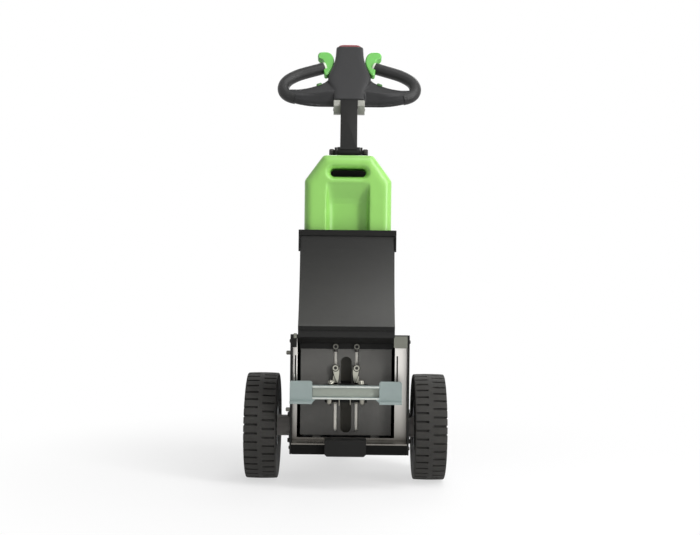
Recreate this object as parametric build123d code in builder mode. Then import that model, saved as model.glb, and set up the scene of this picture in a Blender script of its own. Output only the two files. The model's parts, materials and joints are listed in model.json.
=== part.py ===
"""Pedestrian electric tow tractor: two driven wheels, a trailing castor, a height-adjustable
towing bar at the front, a lift-out battery and a tilting tiller with a closed-loop head.

Millimetres. +X is to the right seen from the front, the front faces -Y, +Z is up. The origin is
on the floor, midway between the front of the towing bar and the back of the castor wheel.
"""
import os
from math import asin, atan2, cos, degrees, radians, sin

from build123d import *

os.makedirs("parts", exist_ok=True)

# Driven wheels
tyre_diameter = 260
tyre_width = 78
wheel_gap = 16
tyre_bead_radius = 56
tyre_shoulder_run = 6
tyre_shoulder_drop = 8
tyre_crown_drop = 1.5
tyre_bead_inset = 10
tyre_wall_start = 26
tyre_corner_radius = 3

rim_sheet = 4
rim_flange_radius = 60
rim_half_width = 32
disc_offset = 12
rim_hub_radius = 26
rim_hub_outer = 26
rim_hub_inner = 40
rim_hole_radius = 7
rim_hole_circle = 40
rim_hole_count = 6
hub_nut_radius = 13
hub_nut_length = 10

axle_radius = 10
axle_tube_radius = 25.5
axle_tube_gap = 5
axle_flange = 84
axle_flange_thickness = 5
axle_flange_corner = 12

# Reaches back of the wheel axle
castor_reach = 290
castor_trail = 35
castor_diameter = 100

# Lower housing
housing_left = 132
housing_right = 150
housing_front_reach = 150
housing_rear_reach = 165
housing_bottom = 85
housing_front_top = 369
housing_rear_top = 295
cover_sheet = 4
frame_sheet = 3
base_height = 23
base_bar = 20
roof_tab_drop = 31
roof_tab_left_width = 11
roof_tab_right_width = 29
stop_bar_half_width = 112
stop_bar_proud = 2
stop_bar_depth = 24

# Bright back plane and the slotted front pan set in its opening
back_plane_setback = 50
opening_half_width = 117
opening_bottom = 117
slit_length = 114
slit_width = 3
slit_drop = 55
slit_left = 122
slit_right = 123
pan_half_width = 109
pan_bottom = 124
pan_top = 331
pan_proud = 5
pan_depth = 25
pan_leg_width = 20
pan_leg_place = 70
centre_slot_width = 26
centre_slot_top = 312
rod_slot_width = 7.5
rod_slot_top = 326
rod_slot_bottom = 134
rod_place = 25.4
rod_radius = 4
rod_setback = 12
rod_bolt_height = 337
rod_bolt_radius = 7
rod_bolt_head = 7

# Foot block at the front sill
foot_half_width = 49
foot_proud = 15
foot_bottom = 83
foot_top = 121
foot_tail = 25
foot_corner = 5

# Towing bar, its carriage and its links
bar_half_length = 79
bar_bottom = 217
bar_top = 249
bar_standoff = 40
bar_depth = 16
bar_web = 5
bar_flange = 5
pad_size = 53
pad_bottom = 207
pad_thickness = 6
pad_corner = 5
lip_thickness = 6
lip_run = 9
gusset_run = 8
carriage_half_width = 52
carriage_plate = 6
carriage_depth = 22
neck_half_width = 20
tongue_half_width = 8
block_half_width = 34
block_thickness = 13
block_bottom = 214
block_top = 252
link_rise = 37
link_eye_radius = 8
link_hole_radius = 3.2
link_thickness = 5
link_foot_width = 7
link_gap = 5
hitch_bolt_place = 36
hitch_bolt_head_radius = 8
hitch_bolt_head = 7
slide_gap = 0.06

# Battery bay with the curved shield in front
bay_half_width = 114.5
bay_rear_reach = 75
bay_top = 602
shield_top_reach = 78
shield_rise = 20
shield_lip = 10
seat_gap = 0.3
rim_height = 14.5
rim_out = 4
rim_back_reach = 74
ear_height = 38
ear_depth = 27

# Lift-out battery
battery_gap = 5
battery_front_reach = 63
battery_depth = 122
battery_top = 800
battery_chamfer_run = 46
battery_chamfer_drop = 63
battery_edge_radius = 12
battery_corner_radius = 14
grip_slot_width = 88
grip_slot_height = 21
grip_slot_middle = 757
grip_slot_bevel = 7
channel_half_width = 52
channel_depth = 20
channel_top = 722
channel_hollow = 15
channel_ramp = 30

# Mast and the tiller hinge on it
mast_half_width = 55
mast_depth = 52
mast_top = 790
mast_cap = 5
mast_corner_radius = 6
pivot_reach = 112
pivot_rise = 22
ear_inner = 30
ear_thickness = 6
ear_half_depth = 16
ear_round = 14
pin_radius = 6
pin_gap = 0.05
knob_radius = 10
knob_length = 14

# Rear controls on the mast
panel_half_width = 48
panel_height = 130
panel_middle = 690
panel_thickness = 8
panel_corner = 10
stop_base_radius = 22
stop_base_thickness = 4
stop_neck_radius = 12
stop_neck_length = 10
stop_cap_radius = 18
stop_cap_thickness = 12
stop_place_x = 20
stop_place_z = 706

# Tiller pole and head
pole_width = 44
pole_depth = 34
pole_wall = 3
pole_hub_radius = 15
pole_hub_gap = 0.5
head_run = 65.4
head_rise = 132.5
head_tilt = 39
head_length = 203
head_front = 20
head_back = 22
head_edge_radius = 7
wing_half_thickness = 13
grip_radius = 16
grip_bend_upper = 46
grip_bend_lower = 28
stub_radius = 9
stub_length = 34
switch_ring_radius = 15.5
switch_ring_start = 2
switch_ring_length = 9
switch_half_thickness = 10
button_half_width = 33
button_length = 18
button_half_thickness = 17
button_radius = 6
clamp_outer = 40
clamp_upper = 18
clamp_lower = 22
speed_pad_width = 20
speed_pad_height = 11
speed_pad_proud = 4
speed_pad_corner = 4

# Drive unit inside the housing
drive_half_length = 105
drive_front_reach = 45
drive_depth = 150
drive_height = 90

# Castor under the rear arm
castor_width = 34
castor_hub_radius = 16
castor_axle_radius = 5
castor_leg = 4
castor_leg_gap = 5
castor_leg_width = 34
castor_wheel_edge = 4
castor_crown_top = 119
castor_crown = 5
castor_race_radius = 26
castor_race_top = 130
castor_plate_half = 45
castor_plate = 5
kingpin_radius = 7
kingpin_bottom = 108
arm_half_width = 36
arm_height = 28
arm_tail = 40

overrun = 50

# Places worked out from the sizes above
wheel_track = 2 * (housing_right + wheel_gap) + tyre_width
bay_floor = housing_front_top
shield_foot = housing_front_top + shield_rise
pan_face_reach = housing_front_reach - back_plane_setback + pan_proud
bar_front_reach = pan_face_reach + bar_standoff + bar_depth
hitch_reach = bar_front_reach + lip_run
rear_reach = castor_reach + castor_trail + castor_diameter / 2
axle_y = (hitch_reach - rear_reach) / 2
axle_z = tyre_diameter / 2
floor_z = housing_bottom + base_height + frame_sheet
inner_left = -housing_left + cover_sheet
inner_right = housing_right - cover_sheet
front_y = axle_y - housing_front_reach
rear_y = axle_y + housing_rear_reach
roof_slope = (housing_front_top - housing_rear_top) / (housing_front_reach + housing_rear_reach)
back_plane_y = front_y + back_plane_setback
pan_face_y = axle_y - pan_face_reach
rod_y = pan_face_y + frame_sheet + rod_setback
stop_bar_y = pan_face_y - stop_bar_proud
slit_middle = housing_front_top - slit_drop - slit_length / 2
battery_half_width = bay_half_width - frame_sheet - battery_gap
pivot_height = mast_top + mast_cap + pivot_rise
head_height = pivot_height + head_rise
head_turn = radians(head_tilt)
pole_turn = atan2(head_run, head_rise)
head_up = (0, sin(head_turn), cos(head_turn))
head_out = (0, -cos(head_turn), sin(head_turn))
pole_up = (0, sin(pole_turn), cos(pole_turn))
head_origin = (0, axle_y + pivot_reach + head_run, head_height)
pivot_point = (0, axle_y + pivot_reach, pivot_height)


def save(piece, name):
    """Labels a finished piece and writes it under that name."""
    piece.part.label = name
    export_step(piece.part, f"parts/{name}.step")


def slab(x_ends, y_ends, z_ends, mode=Mode.ADD):
    """A block between two corners, in the part being built."""
    sizes = [abs(ends[1] - ends[0]) for ends in (x_ends, y_ends, z_ends)]
    middle = tuple((ends[0] + ends[1]) / 2 for ends in (x_ends, y_ends, z_ends))
    with Locations(middle):
        Box(*sizes, mode=mode)


def rod(start, direction, radius, length, mode=Mode.ADD):
    """A round bar from a point along a direction, in the part being built."""
    with Locations(Plane(origin=start, z_dir=direction).location):
        Cylinder(radius, length, align=(Align.CENTER, Align.CENTER, Align.MIN), mode=mode)


def roof_z(y):
    """Height of the sloping housing top at a place along the tractor."""
    return housing_front_top - (y - front_y) * roof_slope


def moved(point, direction, distance):
    """A point shifted along a direction."""
    return tuple(p + d * distance for p, d in zip(point, direction))


def head_plane(offset=0):
    """The plane of the tiller head: local x across, local y up along the head."""
    return Plane(origin=moved(head_origin, head_out, offset), x_dir=(1, 0, 0), z_dir=head_out)


def wheel_pieces(name, side):
    """Tyre, rim and axle shaft of one driven wheel. side is -1 at the left and 1 at the right."""
    centre = (side * wheel_track / 2, axle_y, axle_z)
    axis = Axis(centre, (1, 0, 0))
    profile_plane = Plane(origin=centre, x_dir=(side, 0, 0), z_dir=(0, -side, 0))
    half = tyre_width / 2
    outer = tyre_diameter / 2

    with BuildPart() as tyre:
        with BuildSketch(profile_plane):
            with BuildLine():
                Polyline(
                    (-half + tyre_bead_inset, tyre_bead_radius),
                    (-half, tyre_bead_radius + tyre_wall_start),
                    (-half, outer - tyre_shoulder_drop),
                    (-half + tyre_shoulder_run, outer - tyre_crown_drop),
                    (0, outer),
                    (half - tyre_shoulder_run, outer - tyre_crown_drop),
                    (half, outer - tyre_shoulder_drop),
                    (half, tyre_bead_radius + tyre_wall_start),
                    (half - tyre_bead_inset, tyre_bead_radius),
                    close=True,
                )
            make_face()
        revolve(axis=axis)
        shoulder = tyre.edges().filter_by(GeomType.CIRCLE).filter_by(
            lambda e: abs(e.radius - outer + tyre_shoulder_drop) < tyre_crown_drop)
        fillet(shoulder, tyre_corner_radius)
    save(tyre, f"tyre_{name}")

    seat = tyre_bead_radius - seat_gap
    with BuildPart() as rim:
        with BuildSketch(profile_plane):
            with Locations((0, seat - rim_sheet / 2)):
                Rectangle(2 * rim_half_width, rim_sheet)
            with Locations((disc_offset, (seat - rim_sheet + axle_radius) / 2)):
                Rectangle(rim_sheet, seat - rim_sheet - axle_radius)
            hub_middle = (disc_offset + rim_hub_outer - rim_hub_inner) / 2
            with Locations((hub_middle, (rim_hub_radius + axle_radius) / 2)):
                Rectangle(rim_hub_outer + rim_hub_inner - disc_offset, rim_hub_radius - axle_radius)
            for end in (-1, 1):
                with Locations((end * (rim_half_width + rim_sheet / 2),
                                (rim_flange_radius + seat - rim_sheet) / 2)):
                    Rectangle(rim_sheet, rim_flange_radius - seat + rim_sheet)
        revolve(axis=axis)
        with BuildSketch(Plane(origin=centre, x_dir=(0, 1, 0), z_dir=(side, 0, 0))):
            with PolarLocations(rim_hole_circle, rim_hole_count):
                Circle(rim_hole_radius)
        extrude(amount=disc_offset + rim_sheet, mode=Mode.SUBTRACT)
        rod(centre, (-side, 0, 0), axle_radius + pin_gap, overrun, Mode.SUBTRACT)
        rod(centre, (side, 0, 0), axle_radius + pin_gap, overrun, Mode.SUBTRACT)
    save(rim, f"rim_{name}")

    hub_end = centre[0] + side * (hub_middle + (rim_hub_outer + rim_hub_inner - disc_offset) / 2)
    housing_face = side * (housing_left if side < 0 else housing_right)
    with BuildPart() as shaft:
        shaft_start = housing_face + side * seat_gap
        rod((shaft_start, axle_y, axle_z), (side, 0, 0), axle_radius, abs(hub_end - shaft_start))
        rod((hub_end + side * pin_gap, axle_y, axle_z), (side, 0, 0), hub_nut_radius, hub_nut_length)
        rod((hub_end, axle_y, axle_z), (side, 0, 0), axle_radius, hub_nut_length)
    save(shaft, f"axle_shaft_{name}")

    hub_inner_end = centre[0] + side * (hub_middle - (rim_hub_outer + rim_hub_inner - disc_offset) / 2)
    tube_end = hub_inner_end - side * axle_tube_gap
    with BuildPart() as tube:
        face = (housing_face, axle_y, axle_z)
        with BuildSketch(Plane(origin=face, x_dir=(0, 1, 0), z_dir=(side, 0, 0))):
            RectangleRounded(axle_flange, axle_flange, axle_flange_corner)
        extrude(amount=axle_flange_thickness)
        rod(face, (side, 0, 0), axle_tube_radius, abs(tube_end - housing_face))
        rod(face, (side, 0, 0), axle_radius + pin_gap, overrun, Mode.SUBTRACT)
    save(tube, f"axle_tube_{name}")


for wheel_name, wheel_side in (("left", -1), ("right", 1)):
    wheel_pieces(wheel_name, wheel_side)

# Base frame: a ring of bars under the floor plate
with BuildPart() as base_frame:
    base_z = (housing_bottom, housing_bottom + base_height)
    slab((inner_left, inner_right), (front_y, rear_y), base_z)
    slab((inner_left + base_bar, inner_right - base_bar), (front_y + base_bar, rear_y - base_bar),
         base_z, Mode.SUBTRACT)
save(base_frame, "base_frame")

with BuildPart() as floor_plate:
    slab((inner_left, inner_right), (front_y, rear_y - cover_sheet), (floor_z - frame_sheet, floor_z))
save(floor_plate, "floor_plate")

# Side covers with a sloping top edge
for cover_name, cover_x in (("left", -housing_left), ("right", inner_right)):
    with BuildPart() as side_cover:
        with BuildSketch(Plane.YZ.offset(cover_x)):
            with BuildLine():
                Polyline((front_y, housing_bottom), (rear_y, housing_bottom),
                         (rear_y, housing_rear_top), (front_y, housing_front_top), close=True)
            make_face()
        extrude(amount=cover_sheet)
    save(side_cover, f"side_cover_{cover_name}")

# Sloping top with two front tabs beside the shield, and the bar under it that stops the rods
with BuildPart() as housing_roof:
    with BuildSketch(Plane.YZ.offset(inner_left)):
        with BuildLine():
            Polyline((front_y, housing_front_top), (rear_y, housing_rear_top),
                     (rear_y, housing_rear_top - frame_sheet),
                     (front_y, housing_front_top - frame_sheet), close=True)
        make_face()
    extrude(amount=inner_right - inner_left)
    tab_z = (housing_front_top - roof_tab_drop, housing_front_top - frame_sheet)
    tab_y = (front_y, front_y + frame_sheet)
    slab((inner_left, inner_left + roof_tab_left_width), tab_y, tab_z)
    slab((inner_right - roof_tab_right_width, inner_right), tab_y, tab_z)
    slab((-stop_bar_half_width, stop_bar_half_width), (stop_bar_y, stop_bar_y + stop_bar_depth),
         (pan_top, roof_z(stop_bar_y + stop_bar_depth) - frame_sheet / 2))
save(housing_roof, "housing_roof")

with BuildPart() as rear_cover:
    with BuildSketch(Plane.YZ.offset(inner_left)):
        with BuildLine():
            Polyline((rear_y - cover_sheet, floor_z - frame_sheet), (rear_y, floor_z - frame_sheet),
                     (rear_y, housing_rear_top - frame_sheet),
                     (rear_y - cover_sheet, roof_z(rear_y - cover_sheet) - frame_sheet), close=True)
        make_face()
    extrude(amount=inner_right - inner_left)
save(rear_cover, "rear_cover")

# Bright back plane, open where the pan sits
back_y = (back_plane_y, back_plane_y + frame_sheet)
with BuildPart() as back_plane:
    slab((inner_left, inner_right), back_y, (floor_z, roof_z(back_y[1]) - frame_sheet))
    slab((-opening_half_width, opening_half_width), back_y, (opening_bottom, housing_front_top),
         Mode.SUBTRACT)
    for slit_x in (-slit_left, slit_right):
        slab((slit_x - slit_width / 2, slit_x + slit_width / 2), back_y,
             (slit_middle - slit_length / 2, slit_middle + slit_length / 2), Mode.SUBTRACT)
save(back_plane, "back_plane")

# Front pan with the centre slot and two rod slots
pan_y = (pan_face_y, pan_face_y + pan_depth)
with BuildPart() as front_pan:
    slab((-pan_half_width, pan_half_width), pan_y, (pan_bottom, pan_top))
    slab((-pan_half_width + frame_sheet, pan_half_width - frame_sheet),
         (pan_y[0] + frame_sheet, pan_y[1]), (pan_bottom + frame_sheet, pan_top - frame_sheet),
         Mode.SUBTRACT)
    for leg_side in (-1, 1):
        leg_x = leg_side * pan_leg_place
        slab((leg_x - pan_leg_width / 2, leg_x + pan_leg_width / 2),
             (back_y[1], back_y[1] + frame_sheet), (floor_z, pan_bottom))
    with BuildSketch(Plane.XZ.offset(-pan_y[0])):
        slot_length = centre_slot_top - pan_bottom - 2 * frame_sheet
        with Locations((0, pan_bottom + 2 * frame_sheet + slot_length / 2)):
            SlotOverall(slot_length, centre_slot_width, rotation=90)
        for slot_side in (-1, 1):
            with Locations((slot_side * rod_place, (rod_slot_top + rod_slot_bottom) / 2)):
                SlotOverall(rod_slot_top - rod_slot_bottom, rod_slot_width, rotation=90)
    extrude(amount=-frame_sheet, mode=Mode.SUBTRACT)
save(front_pan, "front_pan")

# Guide rods behind the rod slots, and the bolts above them
with BuildPart() as guide_rods:
    rod_length = pan_top - pan_bottom - 2 * frame_sheet
    for rod_side in (-1, 1):
        rod((rod_side * rod_place, rod_y, pan_bottom + frame_sheet), (0, 0, 1), rod_radius, rod_length)
        rod((rod_side * rod_place, stop_bar_y, rod_bolt_height), (0, -1, 0), rod_bolt_radius,
            rod_bolt_head)
save(guide_rods, "guide_rods")

# Foot block over the front sill
with BuildPart() as hitch_foot:
    foot_y = front_y - foot_proud
    slab((-foot_half_width, foot_half_width), (foot_y, front_y), (foot_bottom, foot_top))
    slab((-foot_half_width, foot_half_width), (front_y, front_y + foot_tail), (floor_z, foot_top))
    lower_corners = hitch_foot.edges().filter_by(Axis.Y).group_by(Axis.Z)[0]
    chamfer(lower_corners, foot_corner)
save(hitch_foot, "hitch_foot")

# Towing bar: a channel open to the front between two square pads with lower lips
with BuildPart() as hitch_bar:
    bar_y = (axle_y - bar_front_reach, axle_y - bar_front_reach + bar_depth)
    slab((-bar_half_length, bar_half_length), bar_y, (bar_bottom, bar_top))
    slab((-bar_half_length, bar_half_length), (bar_y[0], bar_y[1] - bar_web),
         (bar_bottom + bar_flange, bar_top - bar_flange), Mode.SUBTRACT)
    for pad_side in (-1, 1):
        pad_x = (pad_side * bar_half_length, pad_side * (bar_half_length + pad_size))
        slab(pad_x, (bar_y[0], bar_y[0] + pad_thickness), (pad_bottom, pad_bottom + pad_size))
        slab(pad_x, (axle_y - hitch_reach, bar_y[0]), (pad_bottom, pad_bottom + lip_thickness))
        with BuildSketch(Plane.XZ.offset(-bar_y[0] - pad_thickness)):
            with BuildLine():
                Polyline((pad_x[0], bar_bottom), (pad_x[0] - pad_side * gusset_run, bar_bottom),
                         (pad_x[0], bar_bottom - gusset_run), close=True)
            make_face()
        extrude(amount=pad_thickness)
    pad_edges = hitch_bar.edges().filter_by(Axis.Y).group_by(Axis.Z)[-1]
    fillet(pad_edges, pad_corner)
save(hitch_bar, "hitch_bar")

# Carriage: top and bottom plates, neck, tongue through the centre slot and block on the rods
with BuildPart() as hitch_carriage:
    plate_y = (bar_y[1], bar_y[1] + carriage_depth)
    slab((-carriage_half_width, carriage_half_width), plate_y, (bar_top - carriage_plate, bar_top))
    slab((-carriage_half_width, carriage_half_width), plate_y,
         (bar_bottom, bar_bottom + carriage_plate))
    slab((-neck_half_width, neck_half_width), (bar_y[1], pan_face_y - link_gap), (bar_bottom, bar_top))
    slab((-tongue_half_width, tongue_half_width), (pan_face_y - link_gap, rod_y),
         (bar_bottom, bar_top))
    slab((-block_half_width, block_half_width),
         (rod_y - block_thickness / 2, rod_y + block_thickness / 2), (block_bottom, block_top))
    for rod_side in (-1, 1):
        rod((rod_side * rod_place, rod_y, block_bottom - overrun), (0, 0, 1), rod_radius + slide_gap,
            block_top - block_bottom + 2 * overrun, Mode.SUBTRACT)
save(hitch_carriage, "hitch_carriage")

# Tapered links with bolted eyes, standing on the carriage
link_eye_height = bar_top + link_rise
with BuildPart() as hitch_links:
    for link_side in (-1, 1):
        eye_x = link_side * rod_place
        foot_inner = link_side * (rod_place - link_eye_radius)
        foot_outer = foot_inner + link_side * link_foot_width
        with BuildSketch(Plane.XZ.offset(-pan_face_y + link_gap)):
            with BuildLine():
                Polyline((foot_inner, bar_top), (foot_outer, bar_top),
                         (eye_x + link_side * link_eye_radius, link_eye_height),
                         (foot_inner, link_eye_height), close=True)
            make_face()
            with Locations((eye_x, link_eye_height)):
                Circle(link_eye_radius)
                Circle(link_hole_radius, mode=Mode.SUBTRACT)
        extrude(amount=link_thickness)
save(hitch_links, "hitch_links")

# Upright clamp bolts through the carriage plates
with BuildPart() as hitch_bolts:
    bolt_y = (plate_y[0] + plate_y[1]) / 2
    for bolt_side in (-1, 1):
        for start, way in ((bar_top, 1), (bar_bottom, -1)):
            rod((bolt_side * hitch_bolt_place, bolt_y, start), (0, 0, way), hitch_bolt_head_radius,
                hitch_bolt_head)
save(hitch_bolts, "hitch_bolts")

# Curved shield: a concave sheet that sweeps forward to a lip on the sill of the roof
shield_sweep = housing_front_reach + frame_sheet - shield_top_reach
shield_height = bay_top - shield_foot
shield_radius = (shield_height**2 + shield_sweep**2) / (2 * shield_sweep)
shield_angle = degrees(asin(shield_height / shield_radius))
shield_centre = (axle_y - shield_top_reach - shield_radius, bay_top)
with BuildPart() as curved_shield:
    with BuildSketch(Plane.YZ.offset(-bay_half_width)):
        with BuildLine():
            front_arc = CenterArc(shield_centre, shield_radius, 0, -shield_angle)
            back_arc = CenterArc(shield_centre, shield_radius + frame_sheet, 0, -shield_angle)
            Line(front_arc @ 0, back_arc @ 0)
            Polyline(front_arc @ 1, (front_y - frame_sheet, shield_foot - shield_lip),
                     (front_y, shield_foot - shield_lip), back_arc @ 1)
        make_face()
    extrude(amount=2 * bay_half_width)
save(curved_shield, "curved_shield")

# Battery bay: side walls behind the shield, back wall, floor and rim
wall_front = front_y + seat_gap
wall_arc_radius = shield_radius + frame_sheet + seat_gap
wall_arc_angle = degrees(asin((bay_top - shield_foot) / wall_arc_radius))
for bay_name, bay_x in (("left", -bay_half_width), ("right", bay_half_width - frame_sheet)):
    with BuildPart() as bay_side:
        with BuildSketch(Plane.YZ.offset(bay_x)):
            with BuildLine():
                wall_arc = CenterArc(shield_centre, wall_arc_radius, 0, -wall_arc_angle)
                bay_rear = axle_y + bay_rear_reach
                Polyline(wall_arc @ 0, (bay_rear, bay_top), (bay_rear, roof_z(bay_rear)),
                         (wall_front, roof_z(wall_front)), (wall_front, shield_foot), wall_arc @ 1)
            make_face()
        extrude(amount=frame_sheet)
    save(bay_side, f"bay_side_{bay_name}")

with BuildPart() as bay_back:
    with BuildSketch(Plane.YZ.offset(-bay_half_width)):
        with BuildLine():
            back_end = bay_rear + frame_sheet
            Polyline((bay_rear, bay_top), (back_end, bay_top), (back_end, roof_z(back_end)),
                     (bay_rear, roof_z(bay_rear)), close=True)
        make_face()
    extrude(amount=2 * bay_half_width)
save(bay_back, "bay_back")

with BuildPart() as bay_floor_plate:
    slab((-bay_half_width + frame_sheet, bay_half_width - frame_sheet),
         (axle_y - bay_rear_reach + frame_sheet, bay_rear), (bay_floor - frame_sheet, bay_floor))
save(bay_floor_plate, "bay_floor")

with BuildPart() as bay_rim:
    rim_x = bay_half_width + rim_out
    rim_front = axle_y - shield_top_reach - rim_out
    slab((-rim_x, rim_x), (rim_front, axle_y + rim_back_reach), (bay_top, bay_top + rim_height))
    slab((-bay_half_width + frame_sheet, bay_half_width - frame_sheet),
         (axle_y - bay_rear_reach, axle_y + rim_back_reach), (bay_top, bay_top + rim_height),
         Mode.SUBTRACT)
    for ear_side in (-1, 1):
        slab((ear_side * (bay_half_width + seat_gap), ear_side * rim_x),
             (rim_front, rim_front + ear_depth), (bay_top - ear_height, bay_top))
save(bay_rim, "bay_rim")

# The space of the battery's front channel, hollow at its inner corners, with a slanted top
battery_front = axle_y - battery_front_reach
battery_bottom = bay_floor + seat_gap
channel_back = battery_front + channel_depth
with BuildPart() as channel_space:
    with BuildSketch(Plane.XY.offset(battery_bottom - overrun)) as channel_section:
        with BuildLine():
            Polyline((-channel_half_width, battery_front - overrun), (-channel_half_width, channel_back),
                     (channel_half_width, channel_back), (channel_half_width, battery_front - overrun),
                     close=True)
        make_face()
        fillet(channel_section.vertices().group_by(Axis.Y)[-1], channel_hollow)
    extrude(amount=channel_top - battery_bottom + 2 * overrun)
    split(bisect_by=Plane(origin=(0, battery_front, channel_top), x_dir=(1, 0, 0),
                          z_dir=(0, channel_ramp, channel_depth)), keep=Keep.BOTTOM)

# Battery case: chamfered top corners, a hand slot and a wide channel down the front
with BuildPart() as battery_case:
    with BuildSketch(Plane.XZ.offset(-battery_front)):
        with BuildLine():
            Polyline(
                (-battery_half_width, battery_bottom), (battery_half_width, battery_bottom),
                (battery_half_width, battery_top - battery_chamfer_drop),
                (battery_half_width - battery_chamfer_run, battery_top),
                (-battery_half_width + battery_chamfer_run, battery_top),
                (-battery_half_width, battery_top - battery_chamfer_drop), close=True)
        face = make_face()
        upper = [v for v in face.vertices() if v.Y > battery_bottom + battery_edge_radius]
        fillet(upper, battery_corner_radius)
    extrude(amount=-battery_depth)
    long_faces = battery_case.faces().filter_by(Axis.Y)
    fillet(long_faces.edges(), battery_edge_radius)
    add(channel_space.part, mode=Mode.SUBTRACT)
    with BuildSketch(Plane.XZ.offset(-battery_front + overrun)):
        with Locations((0, grip_slot_middle)):
            SlotOverall(grip_slot_width, grip_slot_height)
    extrude(amount=-battery_depth - 2 * overrun, mode=Mode.SUBTRACT)
    slot_rims = battery_case.edges().filter_by(
        lambda e: abs(e.center().Z - grip_slot_middle) < grip_slot_height
        and (abs(e.center().Y - battery_front) < channel_depth / 2
             or abs(e.center().Y - battery_front - battery_depth) < channel_depth / 2))
    fillet(slot_rims, grip_slot_bevel)
save(battery_case, "battery_case")

# Mast: a box section standing on the sloping roof behind the bay
mast_y = (back_end, back_end + mast_depth)
with BuildPart() as mast:
    with BuildSketch(Plane.YZ.offset(-mast_half_width)):
        with BuildLine():
            Polyline((mast_y[0], roof_z(mast_y[0])), (mast_y[1], roof_z(mast_y[1])),
                     (mast_y[1], mast_top), (mast_y[0], mast_top), close=True)
        make_face()
    extrude(amount=2 * mast_half_width)
    fillet(mast.edges().filter_by(Axis.Z).group_by(Axis.Y)[-1], mast_corner_radius)
    slab((-mast_half_width + frame_sheet, mast_half_width - frame_sheet),
         (mast_y[0] + frame_sheet, mast_y[1] - frame_sheet), (housing_rear_top, mast_top),
         Mode.SUBTRACT)
save(mast, "mast")

# Hinge bracket on the mast, and the pin with its end knobs
with BuildPart() as tiller_bracket:
    slab((-mast_half_width, mast_half_width), mast_y, (mast_top, mast_top + mast_cap))
    fillet(tiller_bracket.edges().filter_by(Axis.Z).group_by(Axis.Y)[-1], mast_corner_radius)
    for ear_side in (-1, 1):
        ear_x = (ear_side * ear_inner, ear_side * (ear_inner + ear_thickness))
        pivot_y = pivot_point[1]
        slab(ear_x, (pivot_y - ear_half_depth, pivot_y + ear_half_depth),
             (mast_top + mast_cap, pivot_height + ear_round))
    upper_ears = tiller_bracket.edges().filter_by(Axis.X).group_by(Axis.Z)[-1]
    fillet(upper_ears, ear_round)
    rod(moved(pivot_point, (1, 0, 0), -overrun), (1, 0, 0), pin_radius + pin_gap, 2 * overrun,
        Mode.SUBTRACT)
save(tiller_bracket, "tiller_bracket")

with BuildPart() as hinge_pin:
    pin_half = ear_inner + ear_thickness + seat_gap
    rod(moved(pivot_point, (1, 0, 0), -pin_half), (1, 0, 0), pin_radius, 2 * pin_half)
    for knob_side in (-1, 1):
        rod(moved(pivot_point, (knob_side, 0, 0), pin_half), (knob_side, 0, 0), knob_radius,
            knob_length)
save(hinge_pin, "hinge_pin")

# Control panel and stop button on the back of the mast
with BuildPart() as control_panel:
    with BuildSketch(Plane(origin=(0, mast_y[1], panel_middle), x_dir=(-1, 0, 0), z_dir=(0, 1, 0))):
        RectangleRounded(2 * panel_half_width, panel_height, panel_corner)
    extrude(amount=panel_thickness)
save(control_panel, "control_panel")

with BuildPart() as stop_button:
    stop_start = (stop_place_x, mast_y[1] + panel_thickness, stop_place_z)
    rod(stop_start, (0, 1, 0), stop_base_radius, stop_base_thickness)
    rod(stop_start, (0, 1, 0), stop_neck_radius, stop_neck_length)
    rod(moved(stop_start, (0, 1, 0), stop_neck_length), (0, 1, 0), stop_cap_radius,
        stop_cap_thickness)
save(stop_button, "stop_button")

# Drive unit: a plain block for the motor and gearbox on the floor plate
with BuildPart() as drive_unit:
    slab((-drive_half_length, drive_half_length),
         (axle_y - drive_front_reach, axle_y - drive_front_reach + drive_depth),
         (floor_z, floor_z + drive_height))
save(drive_unit, "drive_unit")

# Tiller pole with its hinge hub, cut square to the head
with BuildPart() as tiller_pole:
    hub_half = ear_inner - pole_hub_gap
    rod(moved(pivot_point, (1, 0, 0), -hub_half), (1, 0, 0), pole_hub_radius, 2 * hub_half)
    pole_base = Plane(origin=pivot_point, x_dir=(1, 0, 0), z_dir=pole_up)
    pole_length = head_rise / cos(pole_turn) + overrun
    with BuildSketch(pole_base):
        Rectangle(pole_width, pole_depth)
    extrude(amount=pole_length)
    with BuildSketch(pole_base.offset(pole_hub_radius)):
        Rectangle(pole_width - 2 * pole_wall, pole_depth - 2 * pole_wall)
    extrude(amount=pole_length, mode=Mode.SUBTRACT)
    split(bisect_by=Plane(origin=moved(head_origin, head_up, -seat_gap), z_dir=head_up),
          keep=Keep.BOTTOM)
    rod(moved(pivot_point, (1, 0, 0), -overrun), (1, 0, 0), pin_radius + pin_gap, 2 * overrun,
        Mode.SUBTRACT)
save(tiller_pole, "tiller_pole")

# Cheeks that clamp the pole under the head, bent between the two directions
with BuildPart() as neck_clamp:
    pole_out = (0, -cos(pole_turn), sin(pole_turn))
    stations = [moved(head_origin, head_up, -seat_gap)]
    stations.append(moved(stations[0], head_up, -clamp_upper))
    stations.append(moved(stations[1], pole_up, -clamp_lower))
    outward = [head_out, head_out, pole_out]
    half_depth = pole_depth / 2 + pole_wall
    front_points = [moved(p, d, half_depth)[1:] for p, d in zip(stations, outward)]
    back_points = [moved(p, d, -half_depth)[1:] for p, d in zip(stations, outward)]
    for clamp_x in (pole_width / 2 + seat_gap, -clamp_outer):
        with BuildSketch(Plane.YZ.offset(clamp_x)):
            with BuildLine():
                Polyline(*front_points, *reversed(back_points), close=True)
            make_face()
        extrude(amount=clamp_outer - pole_width / 2 - seat_gap)
save(neck_clamp, "neck_clamp")

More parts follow.
